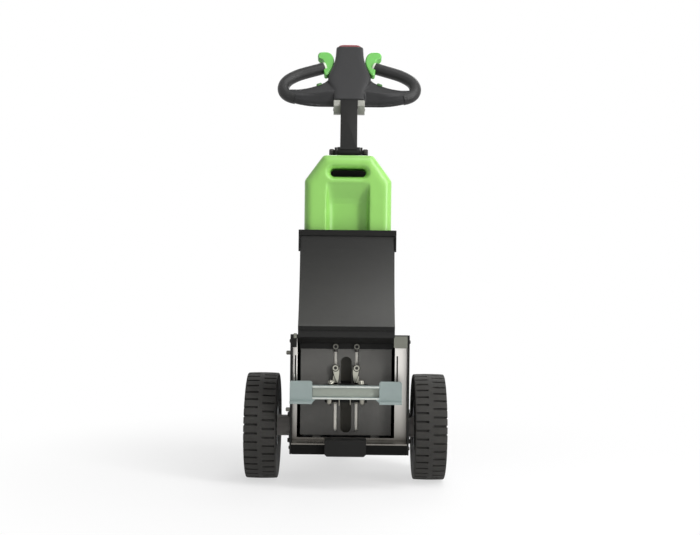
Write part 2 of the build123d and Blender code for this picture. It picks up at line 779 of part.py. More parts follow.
# Outlines of the tiller head, as (across, up) shares of its length on its right half
head_shares = ((0.207, 0), (0.207, 0.207), (0.293, 0.446), (0.252, 0.666), (0.222, 0.752),
               (0.192, 0.842), (0.18, 0.91), (0.171, 1))
wing_shares = ((0.149, 0), (0.207, 0), (0.518, -0.01), (0.682, 0.048), (0.707, 0.189),
               (0.541, 0.252), (0.442, 0.324), (0.343, 0.373), (0.288, 0.455), (0.149, 0.495))
grip_shares = ((0.347, 0.68), (0.876, 0.451), (0.857, 0.089), (0.697, 0.117))
switch_shares = ((0.256, 0.68), (0.325, 0.65), (0.316, 0.779), (0.347, 0.838), (0.415, 0.914),
                 (0.394, 0.964), (0.276, 0.973), (0.225, 0.887), (0.222, 0.838))
speed_pad_shares = (0.397, 0.283)


def head_points(shares, side=1):
    """Places on the head's plane, from their shares of its length."""
    return [(side * across * head_length, up * head_length) for across, up in shares]


def on_head(point, offset=0):
    """A place on the head's plane, as a point in the tractor's frame."""
    return head_plane(offset).from_local_coords(Vector(point[0], point[1], 0))


grip_points = head_points(grip_shares)
grip_start = Vector(*grip_points[0])
grip_way = (grip_start - Vector(*grip_points[1])).normalized()

with BuildPart() as head_body:
    with BuildSketch(head_plane(-head_back)):
        Polygon(*head_points(head_shares), *reversed(head_points(head_shares, -1)), align=None)
    extrude(amount=head_front + head_back)
    fillet(head_body.faces().sort_by(Axis(head_origin, head_out))[-1].edges(), head_edge_radius)
    for wing_side in (-1, 1):
        with BuildSketch(head_plane(-wing_half_thickness)):
            Polygon(*head_points(wing_shares, wing_side), align=None)
        extrude(amount=2 * wing_half_thickness)
        stub_start = on_head((wing_side * grip_start.X, grip_start.Y))
        stub_way = on_head((wing_side * (grip_start.X + grip_way.X), grip_start.Y + grip_way.Y))
        rod(stub_start, stub_way - stub_start, stub_radius, stub_length)
save(head_body, "head_body")

# Closed-loop grips and the thumb switches at their inner ends
for grip_name, grip_side in (("left", -1), ("right", 1)):
    with BuildPart() as grip:
        points = [on_head(point) for point in head_points(grip_shares, grip_side)]
        with BuildLine():
            path = FilletPolyline(*points, radius=[grip_bend_upper, grip_bend_lower])
        with BuildSketch(Plane(origin=path @ 0, z_dir=path % 0)):
            Circle(grip_radius)
        sweep()
    save(grip, f"grip_{grip_name}")

    with BuildPart() as thumb_switch:
        with BuildSketch(head_plane(-switch_half_thickness)):
            Polygon(*head_points(switch_shares, grip_side), align=None)
        extrude(amount=2 * switch_half_thickness)
        start = on_head((grip_side * grip_start.X, grip_start.Y))
        way = on_head((grip_side * (grip_start.X + grip_way.X), grip_start.Y + grip_way.Y)) - start
        ring_start = start + way * switch_ring_start
        rod(ring_start, way, switch_ring_radius, switch_ring_length)
        rod(start, way, stub_radius + seat_gap, overrun, Mode.SUBTRACT)
    save(thumb_switch, f"thumb_switch_{grip_name}")

with BuildPart() as belly_button:
    with BuildSketch(Plane(origin=moved(head_origin, head_up, head_length), x_dir=(1, 0, 0),
                           z_dir=head_up)):
        Rectangle(2 * button_half_width, 2 * button_half_thickness)
    extrude(amount=button_length)
    button_top = belly_button.faces().sort_by(Axis(head_origin, head_up))[-1]
    fillet(button_top.edges(), button_radius)
save(belly_button, "belly_button")

with BuildPart() as speed_pads:
    with BuildSketch(head_plane(wing_half_thickness)):
        for pad_side in (-1, 1):
            with Locations(*head_points([speed_pad_shares], pad_side)):
                RectangleRounded(speed_pad_width, speed_pad_height, speed_pad_corner)
    extrude(amount=speed_pad_proud)
save(speed_pads, "speed_pads")

# Castor arm with its top plate and kingpin
castor_y = axle_y + castor_reach
arm_bottom = castor_race_top + castor_plate
with BuildPart() as castor_arm:
    arm_y = (rear_y, castor_y + arm_tail)
    slab((-arm_half_width, arm_half_width), arm_y, (arm_bottom, arm_bottom + arm_height))
    slab((-castor_plate_half, castor_plate_half),
         (castor_y - castor_plate_half, castor_y + castor_plate_half), (castor_race_top, arm_bottom))
    rod((0, castor_y, kingpin_bottom), (0, 0, 1), kingpin_radius, castor_race_top - kingpin_bottom)
save(castor_arm, "castor_arm")

wheel_y = castor_y + castor_trail
wheel_z = castor_diameter / 2
leg_inner = castor_width / 2 + castor_leg_gap
with BuildPart() as castor_fork:
    crown_bottom = castor_crown_top - castor_crown
    slab((-leg_inner - castor_leg, leg_inner + castor_leg),
         (castor_y - castor_race_radius, castor_y + castor_race_radius),
         (crown_bottom, castor_crown_top))
    rod((0, castor_y, castor_crown_top), (0, 0, 1), castor_race_radius,
        castor_race_top - castor_crown_top - seat_gap)
    for leg_side in (-1, 1):
        leg_start = leg_side * leg_inner if leg_side > 0 else -leg_inner - castor_leg
        with BuildSketch(Plane.YZ.offset(leg_start)):
            with BuildLine():
                Polyline((castor_y - castor_race_radius, crown_bottom),
                         (castor_y + castor_race_radius, crown_bottom),
                         (wheel_y + castor_leg_width / 2, wheel_z),
                         (wheel_y, wheel_z - castor_leg_width / 2),
                         (wheel_y - castor_leg_width / 2, wheel_z), close=True)
            make_face()
        extrude(amount=castor_leg)
    rod((0, castor_y, crown_bottom - overrun), (0, 0, 1), kingpin_radius + pin_gap, 2 * overrun,
        Mode.SUBTRACT)
    rod((-leg_inner - castor_leg, wheel_y, wheel_z), (1, 0, 0), castor_axle_radius,
        2 * (leg_inner + castor_leg))
save(castor_fork, "castor_fork")

with BuildPart() as castor_wheel:
    rod((-castor_width / 2, wheel_y, wheel_z), (1, 0, 0), castor_diameter / 2, castor_width)
    fillet(castor_wheel.edges().filter_by(GeomType.CIRCLE), castor_wheel_edge)
    hub_half = leg_inner - seat_gap
    rod((-hub_half, wheel_y, wheel_z), (1, 0, 0), castor_hub_radius, 2 * hub_half)
    rod((-hub_half - overrun, wheel_y, wheel_z), (1, 0, 0), castor_axle_radius + pin_gap,
        2 * (hub_half + overrun), Mode.SUBTRACT)
save(castor_wheel, "castor_wheel")
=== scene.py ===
"""Looks of the pedestrian electric tow tractor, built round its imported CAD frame.

Blender's own units are metres. The forms below are drawn in millimetres of the tractor's frame,
+X to the right seen from the front, the front facing -Y, +Z up, and scaled once when a piece is
made. The tables of points follow the photograph, and what lies behind the front view is a guess.
"""
import json
import math

import bmesh
import bpy
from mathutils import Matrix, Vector


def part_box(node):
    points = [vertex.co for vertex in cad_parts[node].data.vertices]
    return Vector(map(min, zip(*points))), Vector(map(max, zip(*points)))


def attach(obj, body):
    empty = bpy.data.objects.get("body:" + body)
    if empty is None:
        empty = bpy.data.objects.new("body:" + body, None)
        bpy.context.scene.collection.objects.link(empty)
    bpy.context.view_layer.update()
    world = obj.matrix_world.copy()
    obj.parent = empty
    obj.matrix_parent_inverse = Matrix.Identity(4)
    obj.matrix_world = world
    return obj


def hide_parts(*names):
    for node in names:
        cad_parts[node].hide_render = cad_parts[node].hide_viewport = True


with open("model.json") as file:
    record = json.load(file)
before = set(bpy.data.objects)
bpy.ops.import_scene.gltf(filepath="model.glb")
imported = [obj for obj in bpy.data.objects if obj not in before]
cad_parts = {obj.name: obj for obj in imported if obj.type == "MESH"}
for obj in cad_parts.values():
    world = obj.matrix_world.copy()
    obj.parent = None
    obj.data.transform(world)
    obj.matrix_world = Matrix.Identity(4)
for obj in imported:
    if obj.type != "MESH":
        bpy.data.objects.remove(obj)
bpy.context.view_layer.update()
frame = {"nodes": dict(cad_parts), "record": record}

MM = 0.001
ACROSS = Vector((1, 0, 0))
BACK = Vector((0, 1, 0))
UP = Vector((0, 0, 1))
SIDES = (-1, 1)
NAMED_SIDES = (("left", -1), ("right", 1))
WHITE = (1, 1, 1, 1)


class Box:
    """The space a CAD node fills at rest, in millimetres."""

    def __init__(self, node):
        low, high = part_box(node)
        self.low, self.high = low / MM, high / MM
        self.middle = (self.low + self.high) / 2
        self.size = self.high - self.low

    def end(self, side):
        """Its left end for side -1, and its right end for side 1."""
        return self.high.x if side > 0 else self.low.x


# Materials

class Tree:
    """The shader nodes of a material or a world."""

    def __init__(self, owner):
        owner.use_nodes = True
        self.nodes, self.links = owner.node_tree.nodes, owner.node_tree.links

    def set(self, node, inputs):
        """Gives the node's inputs their values, or links them to the outputs given."""
        for name, value in inputs.items():
            if isinstance(value, bpy.types.NodeSocket):
                self.links.new(value, node.inputs[name])
            else:
                node.inputs[name].default_value = value

    def add(self, kind, inputs=None, **settings):
        """A new node with its settings and its inputs."""
        node = self.nodes.new(f"ShaderNode{kind}")
        for name, value in settings.items():
            setattr(node, name, value)
        self.set(node, inputs or {})
        return node


def srgb(display):
    """A display colour, 0 to 255, as the linear colour a shader takes."""
    parts = [value / 255 for value in display]
    return [p / 12.92 if p <= 0.04045 else ((p + 0.055) / 1.055) ** 2.4 for p in parts] + [1]


def surface(name, display, roughness, metallic=0.0, grain=900.0, bump=0.06, variation=0.12,
            blotch=9.0, coat=0.0, specular=0.5, roughness_variation=0.12, stretch=(1, 1, 1),
            painted_shade=None, painted_shade_from=0.0, painted_shade_top=0.2, speckle=0.0):
    """A finish with fine grain in its bump and slow drift in colour and roughness.

    With a shade colour, its colour turns towards it between the two heights that follow it, in
    metres,
    fully at the first of them: painted shade. display and the shade colour are display colours.
    """
    material = bpy.data.materials.new(name)
    tree = Tree(material)
    colour = srgb(display)
    place = tree.add("TexCoord").outputs["Object"]
    mapped = tree.add("Mapping", {"Vector": place, "Scale": stretch}).outputs["Vector"]
    drift = tree.add("TexNoise", {"Vector": mapped, "Scale": blotch, "Detail": 6, "Roughness": 0.6})
    ramp = tree.add("ValToRGB", {"Fac": drift.outputs["Fac"]})
    darker, lighter = ramp.color_ramp.elements
    darker.position, lighter.position = 0.3, 0.7
    darker.color = [c * (1 - variation) for c in colour[:3]] + [1]
    lighter.color = [min(c * (1 + variation), 1) for c in colour[:3]] + [1]
    tint = ramp.outputs["Color"]

    fine = tree.add("TexNoise", {"Vector": mapped, "Scale": grain, "Detail": 3})
    if speckle:
        fleck = tree.add("Mix", {"Factor": speckle, "A": tint, "B": fine.outputs["Color"]},
                         data_type="RGBA", blend_type="SOFT_LIGHT")
        tint = fleck.outputs["Result"]
    # Painted shade: between two heights the colour turns to the shade colour.
    if painted_shade:
        height = tree.add("SeparateXYZ", {"Vector": place}).outputs["Z"]
        uneven = tree.add(
            "Math", {0: drift.outputs["Fac"], 1: 0.08, 2: height}, operation="MULTIPLY_ADD")
        share = tree.add(
            "MapRange",
            {"Value": uneven.outputs["Value"], "From Min": painted_shade_from, "From Max": painted_shade_top,
             "To Min": 1.0, "To Max": 0.0}, interpolation_type="SMOOTHSTEP")
        shaded = tree.add("Mix", {"Factor": share.outputs["Result"], "A": tint, "B": srgb(painted_shade)},
                         data_type="RGBA")
        tint = shaded.outputs["Result"]

    spread = tree.add(
        "MapRange",
        {"Value": drift.outputs["Fac"], "To Min": max(roughness - roughness_variation, 0.02),
         "To Max": min(roughness + roughness_variation, 1)})
    relief = tree.add("Bump", {"Strength": bump, "Distance": MM, "Height": fine.outputs["Fac"]})
    tree.set(tree.nodes["Principled BSDF"], {
        "Base Color": tint, "Metallic": metallic, "Roughness": spread.outputs["Result"],
        "Specular IOR Level": specular, "Coat Weight": coat, "Coat Roughness": 0.06,
        "Normal": relief.outputs["Normal"]})
    return material


# What the painted sheets share, and the zinc of small parts
sheet_paint = {"grain": 1400, "bump": 0.3}
small_zinc = {"metallic": 0.6, "grain": 1500, "bump": 0.1, "variation": 0.08, "blotch": 40}
bar_zinc = {
    "metallic": 0.25, "grain": 500, "bump": 0.1, "variation": 0.06, "blotch": 22, "specular": 0.4}
bolt_steel = {"grain": 1500, "bump": 0.15, "variation": 0.12, "blotch": 60}

# Display colour, roughness, and what differs from the usual finish. The record's slots come first,
# down to castor_rubber, and after them the finishes of small pieces and of single nodes.
finish_table = {
    "black_powdercoat": ((26, 26, 25), 0.5, {**sheet_paint, "specular": 0.14}),
    # Painted shade: the shield's paint turns darker towards its top.
    "dark_plate": ((66, 66, 64), 0.46, {
        **sheet_paint, "specular": 0.2, "painted_shade": (42, 42, 41), "painted_shade_from": 0.66,
        "painted_shade_top": 0.42}),
    # Painted shade: the bright sheet turns dark and brown towards the floor, for the shadowed floor
    # it reflects.
    "galvanised": ((246, 243, 237), 0.3, {
        "metallic": 0.9, "grain": 300, "variation": 0.05, "stretch": (1, 1, 0.15),
        "painted_shade": (62, 56, 47), "painted_shade_from": 0.07, "painted_shade_top": 0.36}),
    "hitch_zinc": ((140, 152, 150), 0.42, bar_zinc),
    "battery_green": ((137, 194, 95), 0.34, {
        "grain": 700, "bump": 0.04, "variation": 0.04, "coat": 0.04, "roughness_variation": 0.05}),
    "switch_green": ((104, 182, 84), 0.34, {"bump": 0.08, "variation": 0.06}),
    "head_plastic": ((34, 34, 35), 0.36, {
        "grain": 2200, "bump": 0.3, "variation": 0.08, "specular": 0.3}),
    "grip_rubber": ((36, 36, 36), 0.4, {
        "grain": 1600, "bump": 0.35, "variation": 0.1, "specular": 0.3}),
    "tyre_rubber": ((54, 53, 51), 0.72, {
        "grain": 700, "bump": 0.5, "variation": 0.16, "specular": 0.2, "blotch": 24,
        "speckle": 0.3}),
    "rim_silver": ((186, 188, 190), 0.38, {"metallic": 0.6, "bump": 0.12, "variation": 0.05}),
    "steel_bright": ((212, 209, 200), 0.26, {
        "metallic": 1.0, "grain": 1200, "bump": 0.08, "variation": 0.08}),
    "cast_alu": ((150, 150, 143), 0.5, {
        "metallic": 0.5, "grain": 1100, "bump": 0.5, "variation": 0.08}),
    "red_plastic": ((122, 22, 32), 0.34, {"bump": 0.05, "variation": 0.08}),
    "motor_grey": ((96, 98, 100), 0.6, {"grain": 500, "bump": 0.5, "variation": 0.15}),
    "castor_rubber": ((84, 84, 84), 0.7, {"bump": 0.35, "speckle": 0.3}),
    # Partly painted light: the rods' zinc is near-white and less metallic than their steel, so they
    # read bright in their shaded slots.
    "rod_zinc_painted_light": ((232, 229, 220), 0.36, small_zinc),
    "link_zinc": ((182, 181, 168), 0.36, small_zinc),
    # Painted highlight: a lighter copy of the bar's zinc, on the front edges of its flanges.
    "flange_highlight_zinc": ((196, 200, 194), 0.4, {
        "metallic": 0.2, "bump": 0.1, "variation": 0.08, "blotch": 60}),
    "bolt_grey": ((112, 111, 104), 0.4, {**bolt_steel, "metallic": 0.7}),
    # Painted light: the axle tubes are black, and are given a pale grey so that they read lit.
    "axle_painted_light": ((176, 172, 168), 0.5, {"grain": 1200, "bump": 0.3, "specular": 0.25}),
    # Painted shade: the pan's enamel turns darker towards its foot.
    "pan_enamel": ((104, 103, 100), 0.46, {
        **sheet_paint, "specular": 0.2, "painted_shade": (44, 43, 42), "painted_shade_top": 0.36}),
    "sill_black": ((17, 17, 16), 0.55, {**sheet_paint, "specular": 0.06}),
    # Painted highlight: a pale ring at each grip's end, for the bright sliver beside the switch's
    # stem.
    "pale_highlight": ((206, 216, 196), 0.4, {}),
    "slot_dark": ((70, 68, 60), 0.6, {"bump": 0.2}),
    "pad_green": ((66, 112, 54), 0.4, {"bump": 0.08}),
    "apron_enamel": ((30, 30, 29), 0.55, {**sheet_paint, "specular": 0.2}),
    # Partly painted light: a warmer zinc, lighter than the bar's, so the web between the flanges
    # reads bright.
    "web_zinc_painted_light": ((162, 168, 158), 0.42, bar_zinc),
    "tab_zinc": ((112, 113, 104), 0.45, {"metallic": 0.3, "bump": 0.12, "variation": 0.06}),
    "bolt_zinc": ((150, 148, 138), 0.34, {**bolt_steel, "metallic": 0.9}),
    # Black bolts and screws; also the painted shadow behind the link plates.
    "black_bolts_and_shade": ((52, 50, 48), 0.4, {"metallic": 0.5, "grain": 1500, "bump": 0.15}),
    "gauge_glass": ((24, 30, 26), 0.12, {"grain": 700, "bump": 0.02, "coat": 0.8}),
    "lamp_green": ((96, 190, 70), 0.2, {"grain": 700, "bump": 0.02, "coat": 0.6}),
    "stop_yellow": ((214, 176, 40), 0.4, {}),
    "stop_red": ((176, 22, 26), 0.3, {"bump": 0.05, "coat": 0.4}),
    # Painted shade: black discs that fill the cap screws' hexagon sockets.
    "socket_painted_shade": ((20, 20, 20), 0.7, {"bump": 0.1, "specular": 0.2}),
}
finish = {name: surface(name, display, roughness, **more)
          for name, (display, roughness, more) in finish_table.items()}

node_slots = {part["node"]: part["material_slot"] for part in frame["record"]["subparts"]}
node_looks = {
    **node_slots, "front_pan": "pan_enamel", "base_frame": "sill_black",
    "axle_tube_left": "axle_painted_light", "axle_tube_right": "axle_painted_light"}
for node_name, node in frame["nodes"].items():
    node.data.materials.clear()
    node.data.materials.append(finish[node_looks[node_name]])


# Forms

def frame_of(direction):
    """The given direction, made a unit long, and two square to it and to each other."""
    along = Vector(direction).normalized()
    helper = UP if abs(along.z) < 0.9 else BACK
    first = helper.cross(along).normalized()
    return along, first, along.cross(first)


def round_angles(count, offset=0.0):
    """As many angles evenly round a circle, the first of them offset steps on."""
    return [math.tau * (k + offset) / count for k in range(count)]


def hexagon(angle):
    """How far a hexagon's side lies from its middle, against half its width across flats."""
    sixth = math.pi / 3
    return 1 / math.cos((angle + sixth / 2) % sixth - sixth / 2)


def squircle(count, power):
    """Points of a rounded square of half size 1."""
    return [tuple(math.copysign(abs(share) ** (2 / power), share)
                  for share in (math.cos(angle), math.sin(angle))) for angle in round_angles(count)]


def scaled(outline, scale):
    """A flat outline made larger or smaller round the mean of its points."""
    middle = [sum(point[k] for point in outline) / len(outline) for k in (0, 1)]
    return [tuple(m + (value - m) * scale for m, value in zip(middle, point)) for point in outline]


class Form:
    """Vertices and faces that are drawn together, in millimetres. What draws returns the form."""

    def __init__(self):
        self.points = []
        self.faces = []

    def rings(self, rings, closed=False):
        """Skins rings of as many points each. closed joins the last to the first, uncapped."""
        count = len(rings[0])
        start = len(self.points)
        for ring in rings:
            self.points.extend(Vector(point) for point in ring)
        rows = len(rings)
        for row in range(rows if closed else rows - 1):
            below, above = start + row * count, start + (row + 1) % rows * count
            for k in range(count):
                after = (k + 1) % count
                self.faces.append((below + k, below + after, above + after, above + k))
        if not closed:
            self.faces.append(tuple(reversed(range(start, start + count))))
            self.faces.append(tuple(range(start + (rows - 1) * count, start + rows * count)))
        return self

    def turned(self, profile, start, direction, sides=32):
        """Turns (radius, along) points round an axis.

        A third entry is a function of the angle, such as hexagon, that shapes the point's ring.
        """
        along, first, second = frame_of(direction)
        start = Vector(start)
        rings = []
        for radius, distance, *shape in profile:
            ring = []
            for angle in round_angles(sides):
                reach = radius * (shape[0](angle) if shape else 1)
                ring.append(start + along * distance
                            + (first * math.cos(angle) + second * math.sin(angle)) * reach)
            rings.append(ring)
        return self.rings(rings)

    def block(self, low, high, edge=0.0):
        """A box whose edges are cut back by a small chamfer."""
        low, high = Vector(low), Vector(high)
        rings = []
        for z, inset in ((low.z, edge), (low.z + edge, 0), (high.z - edge, 0), (high.z, edge)):
            xs, ys = ((low[k] + inset, low[k] + inset + edge, high[k] - inset - edge,
                       high[k] - inset) for k in (0, 1))
            rings.append(
                [(xs[1], ys[0], z), (xs[2], ys[0], z), (xs[3], ys[1], z), (xs[3], ys[2], z),
                 (xs[2], ys[3], z), (xs[1], ys[3], z), (xs[0], ys[2], z), (xs[0], ys[1], z)])
        return self.rings(rings)

    def mesh(self, name):
        """The form as a mesh in metres, with faces turned outwards."""
        mesh = bpy.data.meshes.new(name)
        mesh.from_pydata([point * MM for point in self.points], [], self.faces)
        build = bmesh.new()
        build.from_mesh(mesh)
        bmesh.ops.recalc_face_normals(build, faces=build.faces)
        build.to_mesh(mesh)
        build.free()
        return mesh


def link(name, data):
    """A new object in the scene."""
    made = bpy.data.objects.new(name, data)
    bpy.context.scene.collection.objects.link(made)
    return made


def melted(form, name, voxel, rounds, cuts=()):
    """One soft skin round all the solids of a form, less the cutting forms, as a mesh."""
    piece = link(name, form.mesh(name))
    cutters = []
    for number, cut in enumerate(cuts):
        cut_name = f"{name}_cut_{number}"
        boolean = piece.modifiers.new("cut", "BOOLEAN")
        boolean.operation = "DIFFERENCE"
        boolean.object = link(cut_name, cut.mesh(cut_name))
        cutters.append(boolean.object)
    remesh = piece.modifiers.new("remesh", "REMESH")
    remesh.mode = "VOXEL"
    remesh.voxel_size = voxel * MM
    soften = piece.modifiers.new("soften", "SMOOTH")
    soften.factor = 0.5
    soften.iterations = rounds
    bpy.context.view_layer.update()
    graph = bpy.context.evaluated_depsgraph_get()
    mesh = bpy.data.meshes.new_from_object(piece.evaluated_get(graph))
    for spare in (piece, *cutters):
        bpy.data.objects.remove(spare)
    return mesh


def add_piece(name, body, shape, slot, look=None, stands_for=(), sharp=35):
    """Makes a shape, a form or a mesh, into a piece that rides on a body.

    look is its finish where that isn't the slot's own, and sharp is in degrees.
    """
    mesh = shape.mesh(name) if isinstance(shape, Form) else shape
    mesh.name = name
    mesh.materials.clear()
    mesh.materials.append(finish[look or slot])
    mesh.shade_smooth()
    mesh.set_sharp_from_angle(angle=math.radians(sharp))
    piece = link(name, mesh)
    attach(piece, body)
    if stands_for:
        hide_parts(*stands_for)


def add_block(name, body, low, high, edge, slot, look=None):
    """A single chamfered block as a piece."""
    add_piece(name, body, Form().block(low, high, edge), slot, look)


def soften_edges(node_name, width, segments=3):
    """Rounds the edges of a CAD piece that stays."""
    node = frame["nodes"][node_name]
    weld = node.modifiers.new("weld", "WELD")
    weld.merge_threshold = 0.02 * MM
    bevel = node.modifiers.new("bevel", "BEVEL")
    bevel.width = width * MM
    bevel.segments = segments
    bevel.limit_method = "ANGLE"
    bevel.angle_limit = math.radians(38)
    bevel.harden_normals = True


edge_widths = {
    "rim_left": 0.7, "rim_right": 0.7, "axle_tube_left": 0.9, "axle_tube_right": 0.9,
    "base_frame": 1.5, "side_cover_left": 1.0, "side_cover_right": 1.0, "housing_roof": 1.0,
    "rear_cover": 1.0, "back_plane": 0.5, "front_pan": 0.8, "hitch_foot": 1.5,
    "curved_shield": 0.9, "bay_side_left": 0.8, "bay_side_right": 0.8, "bay_back": 0.8,
    "bay_rim": 1.4, "mast": 0.8, "tiller_bracket": 1.2, "control_panel": 1.6, "floor_plate": 0.6,
    "hitch_bar": 1.1, "hitch_carriage": 0.8, "castor_fork": 1.0, "castor_arm": 1.6,
}
for node_name, width in edge_widths.items():
    soften_edges(node_name, width)
soften_edges("tiller_pole", 3.0, segments=4)


# Fasteners

fastener_sides = 36
cover_screw = (4.6, 2.6)
panel_screw = (3.6, 2.2)


def hex_head(form, place, direction, flats, height, washer=0.0):
    """A hexagon head with its chamfered top, on a washer if a radius is given for one."""
    half, base = flats / 2, 0.0
    if washer:
        base = 0.12 * flats
        form.turned([(washer, 0), (washer, base * 0.8), (washer - 0.2 * base, base)], place,
                    direction, fastener_sides)
    form.turned(
        [(half, base, hexagon), (half, base + height * 0.82, hexagon),
         (half * 1.02, base + height * 0.86), (half * 0.86, base + height)], place, direction,
        fastener_sides)


def socket_head(form, place, direction, radius, height):
    """A cap screw: a round head with a hexagon recess."""
    recess = radius * 0.52
    form.turned(
        [(radius, 0), (radius, height * 0.86), (radius * 0.9, height), (recess * 1.2, height),
         (recess, height * 0.97, hexagon), (recess, height * 0.45, hexagon),
         (recess * 0.2, height * 0.38)], place, direction, fastener_sides)


def button_head(form, place, direction, radius, height):
    """A low domed head with a hexagon recess."""
    recess = radius * 0.42
    form.turned(
        [(radius, 0), (radius, height * 0.18), (radius * 0.93, height * 0.5),
         (radius * 0.74, height * 0.84), (radius * 0.55, height), (recess * 1.15, height),
         (recess, height * 0.95, hexagon), (recess, height * 0.35, hexagon),
         (recess * 0.2, height * 0.3)], place, direction, fastener_sides)


# Driven wheels

tyres = {side_name: Box(f"tyre_{side_name}") for side_name, _ in NAMED_SIDES}
axle = (tyres["left"].middle + tyres["right"].middle) / 2

# The half outline of a tyre: (share of half the width, drop below the crown)
tyre_outline = (
    (0.0, 0.0), (0.135, 0.05), (0.16, 0.05), (0.35, 0.2), (0.55, 0.4), (0.75, 0.65), (0.89, 0.95),
    (0.915, 1.05), (0.95, 1.5), (0.975, 2.6), (0.99, 4.4), (0.998, 7), (1.0, 11), (1.0, 20),
    (0.99, 23.5), (0.985, 25), (1.0, 28), (0.995, 38), (0.97, 46), (0.95, 48), (0.955, 50),
    (0.92, 58), (0.88, 62), (0.885, 66), (0.8, 72))
crown_clearance = 0.1
lugs_round = 39
slot_half, slot_wall, slot_depth = 1.9, 0.8, 4.6
slot_share = 0.145
slot_fade_start, slot_fade_end = 16.0, 23.0
inner_rib_share = 0.9

rim_bolt_count, rim_bolt_circle, rim_disc_out = 6, 40, 14
valve_out, valve_up = 13, 47.5
valve_profile = ((3.4, 0), (3.4, 3), (2.4, 5), (2.4, 12), (2.9, 12.5), (2.9, 19), (2.2, 20))
# The tyre's bead beyond the rim's inner lip: (out past the rim's radius, along from its face)
bead_section = ((-10, -1), (0.4, -1), (0.4, 0.3), (-10, 0.3))
flange_thickness, flange_bolt_offset = 5, 32
hub_collar = ((13, 0), (13, 1.6), (12.6, 2))
hub_collar_in, hub_nut_in, hub_nut_flats, hub_nut_height = 10, 8, 21.5, 6


def tyre(side_name, side):
    """A block-tread tyre: two rows of cross slots, half a pitch apart, with a plain middle rib."""
    box = tyres[side_name]
    half, crown = box.size.x / 2, box.size.z / 2 - crown_clearance
    outline = [(-share, drop) for share, drop in reversed(tyre_outline)] + list(tyre_outline[1:])
    normals = []
    for before, after in zip(outline[:1] + outline, outline[1:] + outline[-1:]):
        run, fall = (after[0] - before[0]) * half, after[1] - before[1]
        length = math.hypot(run, fall)
        normals.append((fall / length, run / length))
    pitch = math.tau * crown / lugs_round
    # Two slots to a lug, each as its two walls' feet and tops, and a mark on the plain tread
    marks = []
    for row, middle in (("outer", 0.0), ("inner", pitch / 2)):
        marks += [(middle - slot_half - slot_wall, None), (middle - slot_half, row),
                  (middle + slot_half, row), (middle + slot_half + slot_wall, None),
                  (middle + pitch / 4, None)]
    rings = []
    for lug in range(lugs_round):
        for mark, slotted in marks:
            angle = (lug * pitch + mark) / crown
            ring = []
            for (share, drop), (way_x, way_r) in zip(outline, normals):
                outward = share * side
                row = "outer" if outward > 0 else "inner"
                depth = 0.0
                if slotted == row and abs(share) > slot_share and outward >= -inner_rib_share:
                    fade = (slot_fade_end - drop) / (slot_fade_end - slot_fade_start)
                    depth = slot_depth * min(max(fade, 0), 1)
                radius = crown - drop - way_r * depth
                ring.append(
                    box.middle + Vector(
                        (share * half - way_x * depth, -radius * math.cos(angle),
                         radius * math.sin(angle))))
            rings.append(ring)
    tread = Form().rings(rings, closed=True)
    add_piece(f"tyre_{side_name}_tread", f"wheel_{side_name}", tread, "tyre_rubber",
              stands_for=[f"tyre_{side_name}"], sharp=50)


def wheel_hardware(side_name, side):
    """Rim bolts, a valve, the tyre's bead, the hub with its nut, and the flange's bolts."""
    body = f"wheel_{side_name}"
    middle = tyres[side_name].middle
    out = ACROSS * side
    bolts = Form()
    for angle in round_angles(rim_bolt_count, 0.5):
        spoke = Vector((0, math.cos(angle), math.sin(angle)))
        hex_head(bolts, middle + out * rim_disc_out + spoke * rim_bolt_circle, out, 8, 4, 6.5)
    add_piece(f"rim_bolts_{side_name}", body, bolts, "steel_bright", "bolt_zinc")
    valve = Form().turned(valve_profile, middle + out * valve_out + UP * valve_up, out, 20)
    add_piece(f"valve_{side_name}", body, valve, "grip_rubber")
    rim = Box(f"rim_{side_name}")
    bead_rings = []
    for past, along in bead_section:
        radius = rim.size.z / 2 + past
        bead_rings.append([(rim.end(-side) + side * along, middle.y + radius * math.cos(angle),
                            middle.z + radius * math.sin(angle)) for angle in round_angles(72)])
    add_piece(f"bead_ring_{side_name}", body, Form().rings(bead_rings, closed=True), "tyre_rubber")
    shaft_box = Box(f"axle_shaft_{side_name}")
    length = shaft_box.size.x
    start = Vector((shaft_box.end(-side), middle.y, middle.z))
    shaft = Form().turned([(10, 0), (10, length - 0.6), (8.6, length), (3.0, length),
                           (0.6, length - 2.4)], start, out, 40)
    shaft.turned(hub_collar, start + out * (length - hub_collar_in), out, 40)
    hex_head(shaft, start + out * (length - hub_nut_in), out, hub_nut_flats, hub_nut_height)
    add_piece(f"hub_shaft_{side_name}", body, shaft, "steel_bright",
              stands_for=[f"axle_shaft_{side_name}"])
    flange_bolts = Form()
    face_x = Box(f"axle_tube_{side_name}").end(-side) + side * flange_thickness
    for up in SIDES:
        for back in SIDES:
            place = (
                face_x, middle.y + back * flange_bolt_offset, middle.z + up * flange_bolt_offset)
            hex_head(flange_bolts, place, out, 10, 4.6, washer=7.5)
    add_piece(f"flange_bolts_{side_name}", "base", flange_bolts, "steel_bright", "black_bolts_and_shade")


for side_name, side in NAMED_SIDES:
    tyre(side_name, side)
    wheel_hardware(side_name, side)


# Housing, shield and mast: the CAD sheets stay, and their screws and small parts are added

left_cover, right_cover = Box("side_cover_left"), Box("side_cover_right")
cover_inset, cover_top_fall = 14, 74
cover_screws = Form()
for cover, side in ((left_cover, -1), (right_cover, 1)):
    for y in (cover.low.y + cover_inset, cover.middle.y, cover.high.y - cover_inset):
        fall = (y - cover.low.y) * cover_top_fall / cover.size.y
        for z in (cover.low.z + cover_inset, cover.high.z - cover_inset - fall):
            button_head(cover_screws, (cover.end(side), y, z), ACROSS * side, *cover_screw)
add_piece("cover_screws", "base", cover_screws, "steel_bright", "black_bolts_and_shade")

